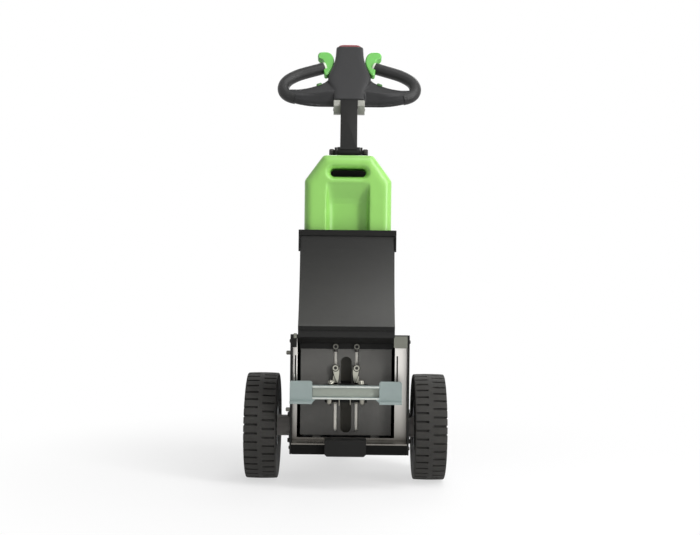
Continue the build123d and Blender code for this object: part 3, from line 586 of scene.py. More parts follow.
# Two studs with nuts that stand out at the left, near the front
stud_front_inset, stud_heights = 22, (323, 188)
studs = Form()
for z in stud_heights:
    hex_head(studs, (left_cover.low.x, left_cover.low.y + stud_front_inset, z), -ACROSS, 8.4, 9.5,
             washer=5.4)
add_piece("cover_studs", "base", studs, "steel_bright", "bolt_grey")

# Guide rods, each with a flat milled along its front, and the cap screws over them, whose sockets
# are filled by black discs as painted shade
pan_front = Box("front_pan").low.y
rods_box = Box("guide_rods")
rod_radius, rod_flat, cap_space = 4, 1.9, 7
rod_x = rods_box.high.x - cap_space
rod_y = rods_box.high.y - rod_radius
cap_z = rods_box.high.z - cap_space
cap_seat = rods_box.low.y + cap_space
cap_radius, cap_height, cap_socket_in = 6.9, 6.8, 6.2
neck_profile = ((4.6, 0), (5.2, 0.6), (5.2, 6.6), (4.2, 7.2))
neck_front, neck_drop = 1.4, 13
rod_foot, rod_top = rods_box.low.z, cap_z - 10.2
rod_ends = ((rod_foot, 0.85), (rod_foot + 0.8, 1), (rod_top - 0.8, 1), (rod_top, 0.85))
rods, rod_necks, rod_caps, cap_socket_shades = Form(), Form(), Form(), Form()
for side in SIDES:
    x = side * rod_x
    rods.rings([[(x + rod_radius * share * math.cos(angle),
                  rod_y + max(rod_radius * share * math.sin(angle), -rod_flat), z)
                 for angle in round_angles(40)] for z, share in rod_ends])
    rod_necks.turned(neck_profile, (x, pan_front + neck_front, cap_z - neck_drop), UP)
    socket_head(rod_caps, (x, cap_seat, cap_z), -BACK, cap_radius, cap_height)
    cap_socket_shades.turned(
        [(3.5, 0, hexagon), (3.5, 0.6, hexagon)], (x, cap_seat - cap_socket_in, cap_z), -BACK,
        fastener_sides)
add_piece("guide_rods_turned", "base", rods, "steel_bright", "rod_zinc_painted_light", ["guide_rods"])
add_piece("rod_necks", "base", rod_necks, "steel_bright", "black_bolts_and_shade")
add_piece("rod_caps", "base", rod_caps, "steel_bright", "bolt_grey")
add_piece("rod_cap_socket_shades", "base", cap_socket_shades, "steel_bright", "socket_painted_shade")

# The bright tab at the right end of the roof's front edge
roof = Box("housing_roof")
tab_front, tab_back, tab_edge = roof.low.y - 0.5, roof.low.y + 0.8, 0.3
add_block(
    "roof_tab", "base", (112.5, tab_front, 338.5), (roof.high.x - 1.5, tab_back, 366.5), tab_edge,
    "galvanised", "tab_zinc")

# The shield's hem, the apron that runs from it back to the pan, and the plate behind the pan's slot
shield = Box("curved_shield")
hem_rise = 9.5
add_block(
    "shield_hem", "base", (shield.low.x + 0.2, shield.low.y - 0.7, shield.low.z),
    (shield.high.x - 0.2, shield.low.y + 0.8, shield.low.z + hem_rise), 0.3, "black_powdercoat")
# The apron's section: (back, up)
apron_section = (
    (-253.4, 378.6), (-252.4, 378.6), (-252.4, 363.4), (-216.6, 346.8), (-216.6, 345.6),
    (-217.6, 345.6), (-253.4, 362.4))
apron = Form().rings([[(x, y, z) for y, z in apron_section]
                      for x in (shield.low.x + 0.4, shield.high.x - 0.4)])
add_piece("apron", "base", apron, "black_powdercoat", "apron_enamel", sharp=20)
slot_back_half, slot_back_in = 26, 30
add_block(
    "slot_back", "base", (-slot_back_half, pan_front + slot_back_in, 118),
    (slot_back_half, pan_front + slot_back_in + 2, 329), 0.3, "dark_plate", "slot_dark")
# The roof's other tab, at its left end
add_block(
    "corner_tab", "base", (roof.low.x + 3.5, tab_front, 359.5), (roof.low.x + 11, tab_back, 371),
    tab_edge, "galvanised", "tab_zinc")

# Rear cover: louvres and screws
rear = Box("rear_cover")
louvre_count, louvre_pitch, louvre_drop = 7, 12, 34
louvre_half, louvre_rise, louvre_out, louvre_root = 52, 9, 4.5, 0.4
louvres = Form()
for k in range(louvre_count):
    z = rear.middle.z - louvre_drop + k * louvre_pitch
    louvres.rings(
        [[(x, rear.high.y - louvre_root, z), (x, rear.high.y + louvre_out * share, z),
          (x, rear.high.y + 3.9 * share, z + louvre_rise * 0.45),
          (x, rear.high.y - louvre_root, z + louvre_rise * 0.8)]
         for x, share in ((-louvre_half, 0.35), (-louvre_half + 6, 1), (louvre_half - 6, 1),
                          (louvre_half, 0.35))])
add_piece("rear_louvres", "base", louvres, "black_powdercoat")
rear_screws = Form()
for x in (rear.low.x + 14, 0, rear.high.x - 14):
    for z in (rear.low.z + 12, rear.high.z - 14):
        button_head(rear_screws, (x, rear.high.y, z), BACK, *cover_screw)
add_piece("rear_screws", "base", rear_screws, "steel_bright", "black_bolts_and_shade")


# Towing bar and carriage

bolts_box = Box("hitch_bolts")
carriage = Box("hitch_carriage")
bolt_x, bolt_y = bolts_box.high.x - 8, bolts_box.middle.y
under_carriage = carriage.low.z + 0.5
outer_dome_x, inner_dome_front = 39, 14.5
outer_dome = (
    (7.4, 0), (7.4, 2), (6.4, 2.4), (6.4, 8), (5.8, 10.8), (4.4, 12.8), (2.2, 13.8), (0.6, 14))
inner_dome = ((6.4, 0), (6.4, 9), (5.8, 11.4), (4.4, 12.6), (2.2, 13.2), (0.6, 13.4))
# Thin pins that hang down: (across, lower end's height)
hanging_pins = ((-15.5, 199), (11, 201.5))
hanging_radius = 1.3
clamp_bolts = Form()
for side in SIDES:
    hex_head(clamp_bolts, (side * bolt_x, bolt_y, carriage.high.z - 1.5), UP, 12.5, 7.4, washer=8)
    clamp_bolts.turned(outer_dome, (side * outer_dome_x, bolt_y, under_carriage), -UP, 40)
    clamp_bolts.turned(
        inner_dome, (side * rod_x, pan_front - inner_dome_front, under_carriage), -UP, 40)
for x, z in hanging_pins:
    length = carriage.low.z - z
    clamp_bolts.turned(
        [(hanging_radius, 0), (hanging_radius, length), (hanging_radius - 0.4, length + 1)],
        (x, bolt_y, under_carriage), -UP, 20)
add_piece("clamp_bolts", "hitch", clamp_bolts, "steel_bright", "bolt_zinc", ["hitch_bolts"])

# Each link is an eye with a twisted leg that runs inwards to a point, over a second leg behind it.
# A dark, larger copy of the front leg and of the eye lies behind them as their shade.
links_box = Box("hitch_links")
link_front = links_box.low.y
eye_x, eye_z = links_box.high.x - 8, links_box.high.z - 8
link_leg = ((-6.4, -3.2), (9.2, 2.6), (9.4, -13), (7.2, -30), (4.4, -36), (1.4, -30), (-3.4, -17))
rear_leg = ((-5.6, -19), (-3.2, -19.5), (2.0, -35.4), (-6.8, -35.4))
eye_profile = ((7.2, 0), (7.2, 4.4), (6.6, 5.2), (4.2, 5.2), (3.6, 4.6), (3.6, 1))
links, link_shade = Form(), Form()
# Legs: (form, outline, front face behind the links' front, thickness, scale)
link_layers = (
    (links, link_leg, 0.4, 2.2, 1), (link_shade, link_leg, 2.2, 1.0, 1.16),
    (links, rear_leg, 3.0, 2.0, 1))
for side in SIDES:
    for form, leg, behind, depth, grow in link_layers:
        front = link_front + behind
        layers = ((front, 0.93), (front + 0.4, 1), (front + depth - 0.4, 1), (front + depth, 0.93))
        form.rings([[(side * (eye_x - x), y, eye_z + z) for x, z in scaled(leg, share * grow)]
                    for y, share in layers])
    link_shade.turned([(8.7, 0), (8.7, 1.4)], (side * eye_x, link_front + 1.6, eye_z), -BACK, 48)
    links.turned(eye_profile, (side * eye_x, link_front + 4.9, eye_z), -BACK, 48)
# A dark disc in each eye's hole is its painted shade.
for side in SIDES:
    link_shade.turned([(3.6, 0), (3.6, 2)], (side * eye_x, link_front + 2.4, eye_z), -BACK)
add_piece("link_plates", "hitch", links, "steel_bright", "link_zinc", ["hitch_links"])
add_piece("link_shade", "hitch", link_shade, "hitch_zinc", "black_bolts_and_shade")

# Lighter strips on the front edges of the bar's flanges, a painted highlight, a lighter face on its
# web, and what hangs below the carriage
flange_front = Box("hitch_bar").low.y + 9
highlight_half, web_half = 78.4, 78.6
flange_highlights = Form()
for low_z, high_z in ((217.6, 221.4), (244.6, 248.4)):
    flange_highlights.block(
        (-highlight_half, flange_front - 0.35, low_z), (highlight_half, flange_front + 0.6, high_z), 0.25)
add_piece("flange_edge_highlights", "hitch", flange_highlights, "hitch_zinc", "flange_highlight_zinc")
# A black plate below the carriage, partly painted shadow: it darkens the band under the bar's lower
# flange.
shadow_skirt_half, shadow_skirt_drop = 50, 8
add_block(
    "carriage_shadow_skirt", "hitch", (-shadow_skirt_half, bolt_y + 2, carriage.low.z - shadow_skirt_drop),
    (shadow_skirt_half, bolt_y + 5, under_carriage), 0.5, "black_powdercoat")
# Dark wipers that hang in front of the rods, and clear the pan's foot at the bar's lowest place
wiper_half, wiper_bottom = 4.8, 197.4
wipers = Form()
for side in SIDES:
    wipers.block((side * rod_x - wiper_half, rod_y - 5, wiper_bottom),
                 (side * rod_x + wiper_half, rod_y - 3.6, under_carriage), 0.4)
add_piece("rod_wipers", "hitch", wipers, "black_powdercoat")
# The web's face, in a lighter zinc than the bar: partly painted light in the shaded channel.
add_block(
    "web_face", "hitch", (-web_half, flange_front + 10.6, 222.4),
    (web_half, flange_front + 11.6, 243.6), 0.2, "hitch_zinc", "web_zinc_painted_light")


# Battery: one soft moulded case with a hand slot and a hollow channel down its front

battery = Box("battery_case")
chamfer_run, chamfer_drop = 46, 63
corner_round, edge_round, edge_steps = 14, 21, 6
channel_half, channel_depth = 52, 24
channel_edge, channel_corner, channel_steps = 3, 20, 7
channel_top, channel_ramp = 733, 52
# The channel's slanted end: (share of the ramp's height up from its foot, share of the depth)
channel_fade = ((0, 0.98), (0.25, 0.85), (0.5, 0.6), (0.75, 0.32), (1, 0.03))
hand_slot_z, hand_slot_half, hand_slot_rise = 757, 44, 10.5
# The slot's mouths: (in from the battery's face, how far they open out)
hand_slot_flare = ((-5, 9), (1, 8), (4, 4.5), (9, 1.5), (16, 0))
overrun = 20


def rounded_outline(points, radius, steps=6):
    """A closed outline whose corners are turned by curves of up to the given radius."""
    result = []
    for k, point in enumerate(points):
        point = Vector(point)
        before = Vector(points[k - 1]) - point
        after = Vector(points[(k + 1) % len(points)]) - point
        reach = min(
            radius / math.tan(before.angle(after) / 2), before.length * 0.45, after.length * 0.45)
        first = point + before.normalized() * reach
        last = point + after.normalized() * reach
        for step in range(steps + 1):
            t = step / steps
            result.append(first.lerp(point, t).lerp(point.lerp(last, t), t))
    return result


def quarter(steps, first=0):
    """(1 - sine, 1 - cosine) of the steps of a quarter turn."""
    angles = [math.pi / 2 * step / steps for step in range(first, steps + 1)]
    return [(1 - math.sin(angle), 1 - math.cos(angle)) for angle in angles]


def battery_slab():
    """The case before its cuts: a rounded outline with rounded front and back edges."""
    half, low, high = battery.size.x / 2, battery.low.z, battery.high.z
    middle, rise = (low + high) / 2, (high - low) / 2
    outline = rounded_outline(
        [(-half, low), (half, low), (half, high - chamfer_drop), (half - chamfer_run, high),
         (-half + chamfer_run, high), (-half, high - chamfer_drop)], corner_round)
    turns = quarter(edge_steps)
    faces = [(battery.low.y + edge_round * deep, edge_round * inset) for inset, deep in turns]
    faces += [
        (battery.high.y - edge_round * deep, edge_round * inset) for inset, deep in reversed(turns)]
    return Form().rings([[(p.x * (half - inset) / half, y,
                           middle + (p.y - middle) * (rise - inset) / rise) for p in outline]
                         for y, inset in faces])


def hand_slot():
    """The through slot with its flared mouths."""
    mouths = [(battery.low.y + y, grow) for y, grow in hand_slot_flare]
    mouths += [(battery.high.y - y, grow) for y, grow in reversed(hand_slot_flare)]
    rings = []
    for y, grow in mouths:
        rise = hand_slot_rise + grow
        reach = hand_slot_half - hand_slot_rise + grow * 0.25
        rings.append([(math.copysign(reach, math.cos(angle)) + rise * math.cos(angle), y,
                       hand_slot_z + rise * math.sin(angle)) for angle in round_angles(40, 0.5)])
    return Form().rings(rings)


def channel():
    """The hollow down the front, with large concave corners and a slanted upper end."""
    lip = channel_half + channel_edge
    section = [(lip + 2, -overrun), (lip + 0.5, 0)]
    section += [(channel_half + channel_edge * inset, channel_edge * deep)
                for inset, deep in quarter(channel_steps, first=1)]
    section += [(channel_half - channel_corner * deep, channel_depth - channel_corner * inset)
                for inset, deep in quarter(channel_steps)]
    section += [(-x, depth) for x, depth in reversed(section)]
    foot = channel_top - channel_ramp
    levels = [(battery.low.z - overrun, 1), (foot - 20, 1)]
    levels += [(foot + channel_ramp * up, share) for up, share in channel_fade]
    return Form().rings([[(x, battery.low.y + (depth * share if depth > 0 else depth), z)
                          for x, depth in section] for z, share in levels])


battery_mesh = melted(battery_slab(), "battery", 2.0, 3, cuts=(hand_slot(), channel()))
add_piece(
    "battery_shell", "battery", battery_mesh, "battery_green", stands_for=["battery_case"],
    sharp=80)


# Tiller head: pieces are drawn across and up the head's plane, and out of it

head_tilt = math.radians(39)
pivot = Vector((0, axle.y + 112, 817))
head_origin = pivot + Vector((0, 65.4, 132.5))
head_up = Vector((0, math.sin(head_tilt), math.cos(head_tilt)))
head_out = Vector((0, -math.cos(head_tilt), math.sin(head_tilt)))
pole_way = (head_origin - pivot).normalized()
pole_out = pole_way.cross(ACROSS).normalized()

# Sections of the head's middle: (up, half width, front, back)
head_sections = (
    (0.5, 40.5, 16, -18), (3, 41.8, 19.5, -21), (34, 42.3, 20, -22), (46, 46, 20, -22),
    (60, 52.5, 20, -22), (75, 57.5, 20, -22), (90, 57.5, 20, -22), (108, 53, 20, -22),
    (124, 48, 20, -22), (140, 43.5, 20, -22), (155, 40.5, 20, -21.5), (172, 38.5, 20, -21),
    (190, 37.6, 20, -20.5), (203, 37.2, 19.6, -19.6), (206.5, 36.6, 18.6, -18.6))
# Sections of a wing: (across, bottom, ridge, top, out at the bottom, ridge and top, roundness)
wing_sections = (
    (33, -1, 31, 102, -7, 18.5, 9, 0), (46, -1.5, 30.5, 97, -7, 18.5, 9, 0),
    (56, -1.5, 29.5, 88, -7, 18.2, 9, 0), (66, -1.5, 28.5, 77, -7, 17.8, 9, 0),
    (78, -1.5, 27, 69, -7, 17.2, 8.5, 0), (90, -1.5, 25, 63.5, -6.5, 16.8, 8.5, 0.08),
    (102, -1, 23.5, 58, -6, 16.4, 9, 0.2), (114, 0, 22.5, 53.5, -5.5, 16.2, 10, 0.38),
    (127, 2, 22.5, 50.5, -5, 16.2, 11, 0.58), (138, 4.5, 24, 49.5, -4, 16.2, 12, 0.75),
    (147, 7, 27, 49.5, -3, 16.1, 12, 0.88), (155, 11, 30, 49.5, -3, 15.6, 11.5, 0.95),
    (161, 17, 34, 48, -3, 14.4, 10, 1))
wing_back = 13
wing_round_angles = (-75, -48, -18, 18, 42, 65, 90, 115, 150, 180, 210, 250, 270)
grip_radius = 15.9
# The middle line of a grip, from the switch round to the wing's end: (across, up)
grip_path = (
    (70.5, 138), (86, 131.8), (103, 125), (120, 118), (136, 110.5), (150, 101.5), (162, 91.5),
    (170.5, 80), (175, 67.5), (175.8, 54.5), (172.3, 42), (165, 32.3), (155, 25.6), (142.5, 21.2))
# The soft end of a grip: (past the path's start, share of the radius)
grip_end = ((1.4, 0.86), (1.1, 0.94), (0.6, 0.985))
stub_way = (Vector(grip_path[0]) - Vector(grip_path[1])).normalized()
# A pale ring at the grip's upper end, a painted highlight: (radius, along)
highlight_ring_profile = ((14, 0), (15.3, 0.8), (15.3, 5.6), (14.4, 6.4))
# Outline of a thumb switch, (across, up), and its layers, (out, scale)
switch_outline = (
    (57, 106), (68, 104), (70, 124), (70.5, 148), (71.5, 160), (76, 167), (85.5, 171), (88, 182),
    (83, 194.5), (70, 196.5), (57, 195), (48, 185.5), (42.5, 168), (42, 148), (49, 126))
switch_layers = ((-9.5, 0.9), (-7.5, 1), (7, 1), (9.5, 0.88))
# Sections of the red button: (up, half width, half thickness)
button_sections = (
    (203, 32.8, 16.4), (212, 32.8, 16.4), (215.5, 31.8, 15.6), (218.3, 29, 13.4), (220.2, 24, 9.5),
    (221, 13, 4))
# Layers of a speed pad: (out, half length, half width)
pad_layers = ((4, 7.6, 3.6), (9.4, 7.6, 3.6), (11, 7.1, 3.1), (11.6, 5.6, 2.2))
pad_place, pad_slant = (80.6, 65), math.radians(-26)
# A clamp cheek's outline, (behind the axle, up), and its layers, (across, scale)
cheek_outline = (
    (164.5, 959.2), (162.6, 944.5), (171.5, 924), (184, 922), (190.5, 931), (189.5, 939.4))
cheek_layers = ((22.3, 0.97), (23.3, 1), (39.8, 1), (41, 0.94))
cheek_screw, pole_screw = (4.2, 1.6), (3.4, 2)


def on_head(across, up, out=0.0):
    """A place on the head, from millimetres across it, up it and out of it."""
    return head_origin + ACROSS * across + head_up * up + head_out * out


def rounder(points, rounds):
    """Cuts the corners of a closed outline, as often as asked."""
    for _ in range(rounds):
        points = [tuple(a + (b - a) * share for a, b in zip(point, after))
                  for point, after in zip(points, points[1:] + points[:1])
                  for share in (0.25, 0.75)]
    return points


def turned_on_stub(form, side, profile, sides=32):
    """Turns a profile round the line that runs inwards from the grip's upper end."""
    return form.turned(
        profile, on_head(side * grip_path[0][0], grip_path[0][1]),
        ACROSS * side * stub_way.x + head_up * stub_way.y, sides)


def wing_ring(side, across, low, ridge, top, out_low, out_ridge, out_top, roundness):
    """A wing's section, with a ridge along its front that fades where the section turns round."""
    tall, climb, swell = top - low, ridge - low, out_ridge - out_low
    points = (
        (low + 1.5, out_low), (low + climb * 0.3, out_low + swell * 0.4),
        (low + climb * 0.75, out_low + swell * 0.8), (ridge, out_ridge),
        (ridge + 7, out_ridge - 1.6), (top - 3.5, out_top), (top, 0), (top - 4, -wing_back * 0.8),
        (low + tall * 0.75, -wing_back), (low + tall * 0.5, -wing_back),
        (low + tall * 0.2, -wing_back), (low + 1.5, -wing_back * 0.85), (low, 0))
    ring = []
    for point, degrees in zip(points, wing_round_angles):
        angle = math.radians(degrees)
        turned = Vector(((low + top + tall * math.sin(angle)) / 2, out_ridge * math.cos(angle)))
        up, out = Vector(point).lerp(turned, roundness)
        ring.append(on_head(side * across, up, out))
    return ring


def head_shell():
    """The head's middle and its two wings, melted into one moulding."""
    form = Form().rings([[on_head(half * across, up, (front + back) / 2 + (front - back) / 2 * out)
                          for across, out in squircle(64, 7)]
                         for up, half, front, back in head_sections])
    for side in SIDES:
        form.rings([wing_ring(side, *section) for section in wing_sections])
        turned_on_stub(form, side, ((8, 0), (8, 34)))
    add_piece("head_shell", "tiller", melted(form, "head", 1.5, 4), "head_plastic",
              stands_for=["head_body"], sharp=80)


def curve_through(points, steps):
    """Points of a smooth curve through the given ones."""
    ahead = [2 * a - b for a, b in zip(points[0], points[1])]
    beyond = [2 * a - b for a, b in zip(points[-1], points[-2])]
    chain = [Vector(point) for point in (ahead, *points, beyond)]
    result = []
    for k in range(1, len(chain) - 2):
        a, b, c, d = chain[k - 1:k + 3]
        for step in range(steps):
            t = step / steps
            result.append(0.5 * ((2 * b) + (c - a) * t + (2 * a - 5 * b + 4 * c - d) * t ** 2
                                 + (3 * b - a - 3 * c + d) * t ** 3))
    result.append(chain[-2])
    return result


def grip_ring(side, place, way, radius):
    """A ring of the grip's tube round a place of its middle line."""
    square = Vector((-way.y, way.x))
    ring = []
    for angle in round_angles(40):
        across, up = place + square * radius * math.sin(angle)
        ring.append(on_head(side * across, up, radius * math.cos(angle)))
    return ring


def loop_grip(side_name, side):
    """A grip tube that bends round in one smooth loop, with a soft end at the switch."""
    path = curve_through(grip_path, 8)
    back = (path[1] - path[0]).normalized()
    rings = [grip_ring(side, path[0] - back * past, back, grip_radius * share)
             for past, share in grip_end]
    for before, place, after in zip(path[:1] + path, path, path[1:] + path[-1:]):
        rings.append(grip_ring(side, place, (after - before).normalized(), grip_radius))
    add_piece(f"loop_grip_{side_name}", "tiller", Form().rings(rings), "grip_rubber",
              stands_for=[f"grip_{side_name}"], sharp=50)


def thumb_switch(side_name, side):
    """A green paddle with a hooked end, and a pale ring beside it on the grip, a painted highlight.
    """
    outline = rounder(list(switch_outline), 2)
    form = Form().rings([[on_head(side * across, up, out)
                          for across, up in scaled(outline, scale)]
                         for out, scale in switch_layers])
    add_piece(f"thumb_paddle_{side_name}", "tiller", melted(form, f"switch_{side_name}", 0.9, 6),
              "switch_green", stands_for=[f"thumb_switch_{side_name}"], sharp=80)
    collar = turned_on_stub(Form(), side, highlight_ring_profile, 40)
    add_piece(f"grip_highlight_ring_{side_name}", "tiller", collar, "switch_green", "pale_highlight")


def belly_button():
    """The red safety button: a domed block that fills the head's end."""
    form = Form().rings([[on_head(half * across, up, thick * out)
                          for across, out in squircle(56, 4)]
                         for up, half, thick in button_sections])
    add_piece(
        "belly_button_dome", "tiller", form, "red_plastic", stands_for=["belly_button"], sharp=50)


def speed_pads():
    """Two small green pads along the wings' upper edges."""
    cosine, sine = math.cos(pad_slant), math.sin(pad_slant)
    form = Form()
    for side in SIDES:
        form.rings([[on_head(side * (pad_place[0] + half * x * cosine - rise * y * sine),
                             pad_place[1] + half * x * sine + rise * y * cosine, out)
                     for x, y in squircle(32, 3.5)]
                    for out, half, rise in pad_layers])
    add_piece(
        "speed_pad_caps", "tiller", form, "switch_green", "pad_green", ["speed_pads"], sharp=50)


def neck_cheeks():
    """The two cheeks that clamp the head on its pole, with their screws."""
    cheeks, screws = Form(), Form()
    for side in SIDES:
        cheeks.rings([[(side * x, axle.y + y, min(z, highest)) for (y, z), (_, highest)
                       in zip(scaled(cheek_outline, share), cheek_outline)]
                      for x, share in cheek_layers])
        button_head(screws, (side * 40.6, axle.y + 177, 935), ACROSS * side, *cheek_screw)
    add_piece("neck_cheeks", "tiller", cheeks, "cast_alu", stands_for=["neck_clamp"], sharp=18)
    front = pivot + pole_way * 134 + pole_out * 17
    button_head(screws, front + ACROSS * 6, pole_out, *pole_screw)
    add_piece("clamp_screws", "tiller", screws, "steel_bright", "black_bolts_and_shade")


head_shell()
for side_name, side in NAMED_SIDES:
    loop_grip(side_name, side)
    thumb_switch(side_name, side)
belly_button()
speed_pads()
neck_cheeks()


# Hinge knobs at the mast's top

pin = Box("hinge_pin")
pin_radius, pin_inset = 6, 2
knob_radius, knob_length, knob_lobes, knob_hollow = 9.9, 13.8, 8, 0.09
# (share of the knob's length, share of its radius)
knob_profile = ((0, 0.72), (0.12, 0.9), (0.25, 1), (0.75, 1), (0.9, 0.93), (1, 0.75))


def lobes(angle):
    """How far the knob's rim lies from its middle, against its radius."""
    return 1 - knob_hollow * (0.5 + 0.5 * math.cos(knob_lobes * angle))


knobs = Form().turned([(pin_radius, 0), (pin_radius, pin.size.x - 2 * pin_inset)],
                      (pin.low.x + pin_inset, pin.middle.y, pin.middle.z), ACROSS)
for side in SIDES:
    knobs.turned([(knob_radius * share, knob_length * run, lobes) for run, share in knob_profile],
                 (side * (pin.high.x - 14), pin.middle.y, pin.middle.z), ACROSS * side, 96)
add_piece("hinge_knobs", "base", knobs, "steel_bright", "black_bolts_and_shade", ["hinge_pin"])


# Controls on the back of the mast

panel, stop, mast = Box("control_panel"), Box("stop_button"), Box("mast")
panel_face = panel.high.y
stop_collar = ((22, 0), (22, 3), (21, 4), (13.5, 4))
stop_profile = (
    (12, 3.6), (12, 10), (17.2, 10.4), (18, 12), (18, 17.5), (16.6, 20), (13, 21.4), (7, 22),
    (2, 22))
lock_x = -24
lock_profile = ((11, 0), (11, 1.6), (9.6, 3.2), (9.6, 4.6), (8.4, 5.4), (8, 5.4), (7.6, 4.2))
gauge_x, gauge_drop, gauge_size = -30, 32, Vector((60, 3.4, 18))
lamp_count, lamp_start, lamp_pitch, lamp_wide = 5, -22, 9, 6
panel_inset = 8
socket_height = 560
socket_profile = ((24, 0), (24, 2.4), (22, 3.4), (17, 3.6), (17, 9), (15.5, 10.5), (6, 11))


def rear_controls():
    """Stop button, key switch, charge gauge, covered socket and the panel's screws."""
    start = Vector((stop.middle.x, panel_face, stop.middle.z))
    add_piece("stop_button_base", "base", Form().turned(stop_collar, start, BACK, 56),
              "red_plastic", "stop_yellow")
    add_piece("stop_button_head", "base", Form().turned(stop_profile, start, BACK, 56),
              "red_plastic", "stop_red", ["stop_button"])
    lock_start = Vector((lock_x, panel_face, stop.middle.z))
    lock = Form().turned(lock_profile, lock_start, BACK, 48)
    lock.block(lock_start + Vector((-1.2, 3.8, -8)), lock_start + Vector((1.2, 18, 8)), 0.5)
    lock.turned([(1.8, 3), (1.8, 9)], lock_start, BACK, 20)
    add_piece("key_switch", "base", lock, "steel_bright")
    low = Vector((gauge_x, panel_face - 1, panel.middle.z - gauge_drop))
    add_block("charge_gauge", "base", low, low + gauge_size, 0.9, "head_plastic", "gauge_glass")
    lamps = Form()
    for k in range(lamp_count):
        x = lamp_start + k * lamp_pitch
        lamps.block(
            (x, panel_face + 1.9, low.z + 6), (x + lamp_wide, panel_face + 3.0, low.z + 12), 0.4)
    add_piece("charge_lamps", "base", lamps, "switch_green", "lamp_green")
    screws = Form()
    for x in (panel.low.x + panel_inset, panel.high.x - panel_inset):
        for z in (panel.low.z + panel_inset, panel.high.z - panel_inset):
            button_head(screws, (x, panel_face, z), BACK, *panel_screw)
    add_piece("panel_screws", "base", screws, "steel_bright", "black_bolts_and_shade")
    socket_start = Vector((0, mast.high.y, socket_height))
    socket = Form().turned(socket_profile, socket_start, BACK, 56)
    socket.block(socket_start + Vector((-4, 3, 14)), socket_start + Vector((4, 9.5, 24)), 1.2)
    add_piece("charge_socket", "base", socket, "head_plastic")


rear_controls()


# Castor

castor, fork, arm = Box("castor_wheel"), Box("castor_fork"), Box("castor_arm")
castor_half = 17
castor_reach = castor.size.x / 2
# Left halves, (radius, along), whose mirror images follow. The tread has its crown between them.
castor_tread_half = (
    (36, -castor_half + 1.5), (40, -castor_half), (45, -castor_half + 0.4),
    (48.2, -castor_half + 2.5), (49.6, -castor_half + 6))
castor_hub_half = (
    (12, -castor_reach), (12, -castor_half - 1), (16, -castor_half + 1), (17, -castor_half + 3),
    (33, -castor_half + 4), (36.4, -castor_half + 1))
castor_crown = 49.9


def mirrored(half_profile, between=()):
    """A half profile with what lies between the halves and its mirror image."""
    return [
        *half_profile, *between, *((radius, -along) for radius, along in reversed(half_profile))]


def castor_pieces():
    """The castor's tyre and hub, its axle nuts and its plate's bolts."""
    tread = mirrored(castor_tread_half, [(castor_crown, 0)])
    add_piece(
        "castor_tread", "castor_wheel_body", Form().turned(tread, castor.middle, ACROSS, 96),
        "castor_rubber", stands_for=["castor_wheel"])
    hub = Form().turned(mirrored(castor_hub_half), castor.middle, ACROSS, 64)
    add_piece("castor_hub", "castor_wheel_body", hub, "cast_alu")
    nuts, plate_bolts = Form(), Form()
    for side in SIDES:
        place = castor.middle + ACROSS * side * (fork.size.x / 2 - 1.2)
        hex_head(nuts, place, ACROSS * side, 12, 5, washer=8)
        for back in (-36, 36):
            place = (side * 40.6, arm.high.y - 45 + back, arm.high.z - 28)
            hex_head(plate_bolts, place, UP, 7, 4, washer=4.2)
    add_piece("castor_nuts", "castor_fork_body", nuts, "steel_bright", "bolt_zinc")
    add_piece("castor_plate_bolts", "base", plate_bolts, "steel_bright", "black_bolts_and_shade")


castor_pieces()


# Stage: a pale floor, soft lamps and the photograph's camera, in metres

camera_distance, camera_height, camera_side = 2.9, 0.602, 0.006
camera_roll = math.radians(-0.62)
axle_m = axle * MM

camera_data = bpy.data.cameras.new("camera")
camera_data.lens = 59.9
camera_data.sensor_width = 36
camera_data.shift_y = -0.045
camera_data.clip_end = 100
camera = link("camera", camera_data)
camera.location = (axle_m.x + camera_side, axle_m.y - camera_distance, camera_height)
camera.rotation_euler = (math.radians(90), camera_roll, 0)
bpy.context.scene.camera = camera

lamp_aim = Vector((0, axle_m.y, 0.55))
# Lamps: (name, place, width, height, watts)
lamp_table = (
    ("lamp_right", (2.4, -1.9, 2.5), 1.1, 1.6, 54), ("lamp_strip", (2.3, -1.9, 0.9), 0.35, 1.5, 34),
    ("lamp_left", (-2.4, -1.6, 1.8), 0.8, 1.6, 4), ("lamp_top", (0.8, -1.0, 3.0), 2.0, 1.6, 35),
    ("lamp_back", (0.6, 2.8, 2.6), 2.0, 1.6, 34))
for name, place, width, height, power in lamp_table:
    light = bpy.data.lights.new(name, "AREA")
    light.shape = "RECTANGLE"
    light.size, light.size_y = width, height
    light.energy = power
    lamp = link(name, light)
    lamp.location = place
    lamp.rotation_euler = (lamp_aim - Vector(place)).to_track_quat("-Z", "Y").to_euler()


def seen_directly(tree):
    """1 for rays from the camera and for reflections and refractions, and 0 for the rest."""
    path = tree.add("LightPath")
    total = path.outputs["Is Camera Ray"]
    for output in ("Is Glossy Ray", "Is Transmission Ray"):
        total = tree.add("Math", {0: total, 1: path.outputs[output]},
                         operation="MAXIMUM").outputs["Value"]
    return total


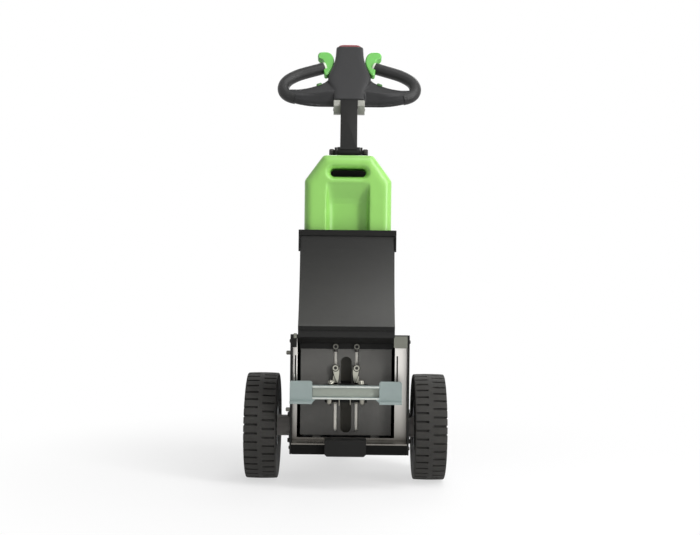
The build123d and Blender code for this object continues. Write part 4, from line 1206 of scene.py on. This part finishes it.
# The sky lights the tractor more from the right, and is plain white where it is seen
world = bpy.data.worlds.new("studio")
bpy.context.scene.world = world
studio = Tree(world)
sky_dim, sky_bright = 0.06, 0.5
sky_place = studio.add("TexCoord").outputs["Generated"]
sky_across = studio.add("SeparateXYZ", {"Vector": sky_place}).outputs["X"]
sky_strength = studio.add(
    "MapRange",
    {"From Min": -1.0, "From Max": 1.0, "To Min": sky_dim, "To Max": sky_bright,
     "Value": sky_across})
sky = studio.nodes["Background"]
studio.set(sky, {"Color": WHITE, "Strength": sky_strength.outputs["Result"]})
backdrop = studio.add("Background", {"Color": WHITE, "Strength": 1})
sky_mix = studio.add(
    "MixShader", {"Fac": seen_directly(studio), 1: sky.outputs[0], 2: backdrop.outputs[0]})
studio.set(studio.nodes["World Output"], {"Surface": sky_mix.outputs[0]})

# The floor turns to plain white away from the tractor, and keeps its shadow near it
floor_half = 9.0
floor_near, floor_clear, floor_near_white = 0.25, 1.1, 0.62
floor_mesh = bpy.data.meshes.new("floor")
floor_mesh.from_pydata(
    [(-floor_half, -floor_half, 0), (floor_half, -floor_half, 0), (floor_half, floor_half, 0),
     (-floor_half, floor_half, 0)], [], [(0, 1, 2, 3)])
floor = link("floor", floor_mesh)
floor_material = bpy.data.materials.new("floor_white")
ground = Tree(floor_material)
ground_shader = ground.nodes["Principled BSDF"]
ground.set(
    ground_shader, {"Base Color": (0.9, 0.9, 0.9, 1), "Roughness": 0.9, "Specular IOR Level": 0.1})
away = ground.add("VectorMath", {0: ground.add("TexCoord").outputs["Object"]}, operation="LENGTH")
whiter = ground.add(
    "MapRange",
    {"Value": away.outputs["Value"], "From Min": floor_near, "From Max": floor_clear,
     "To Min": floor_near_white, "To Max": 1.0}, interpolation_type="SMOOTHSTEP")
glow_share = ground.add(
    "Math", {0: seen_directly(ground), 1: whiter.outputs["Result"]}, operation="MULTIPLY")
glow = ground.add("Emission", {"Color": WHITE})
ground_mix = ground.add(
    "MixShader",
    {"Fac": glow_share.outputs["Value"], 1: ground_shader.outputs[0], 2: glow.outputs[0]})
ground.set(ground.nodes["Material Output"], {"Surface": ground_mix.outputs[0]})
floor.data.materials.append(floor_material)

bpy.context.scene.view_settings.view_transform = "Standard"
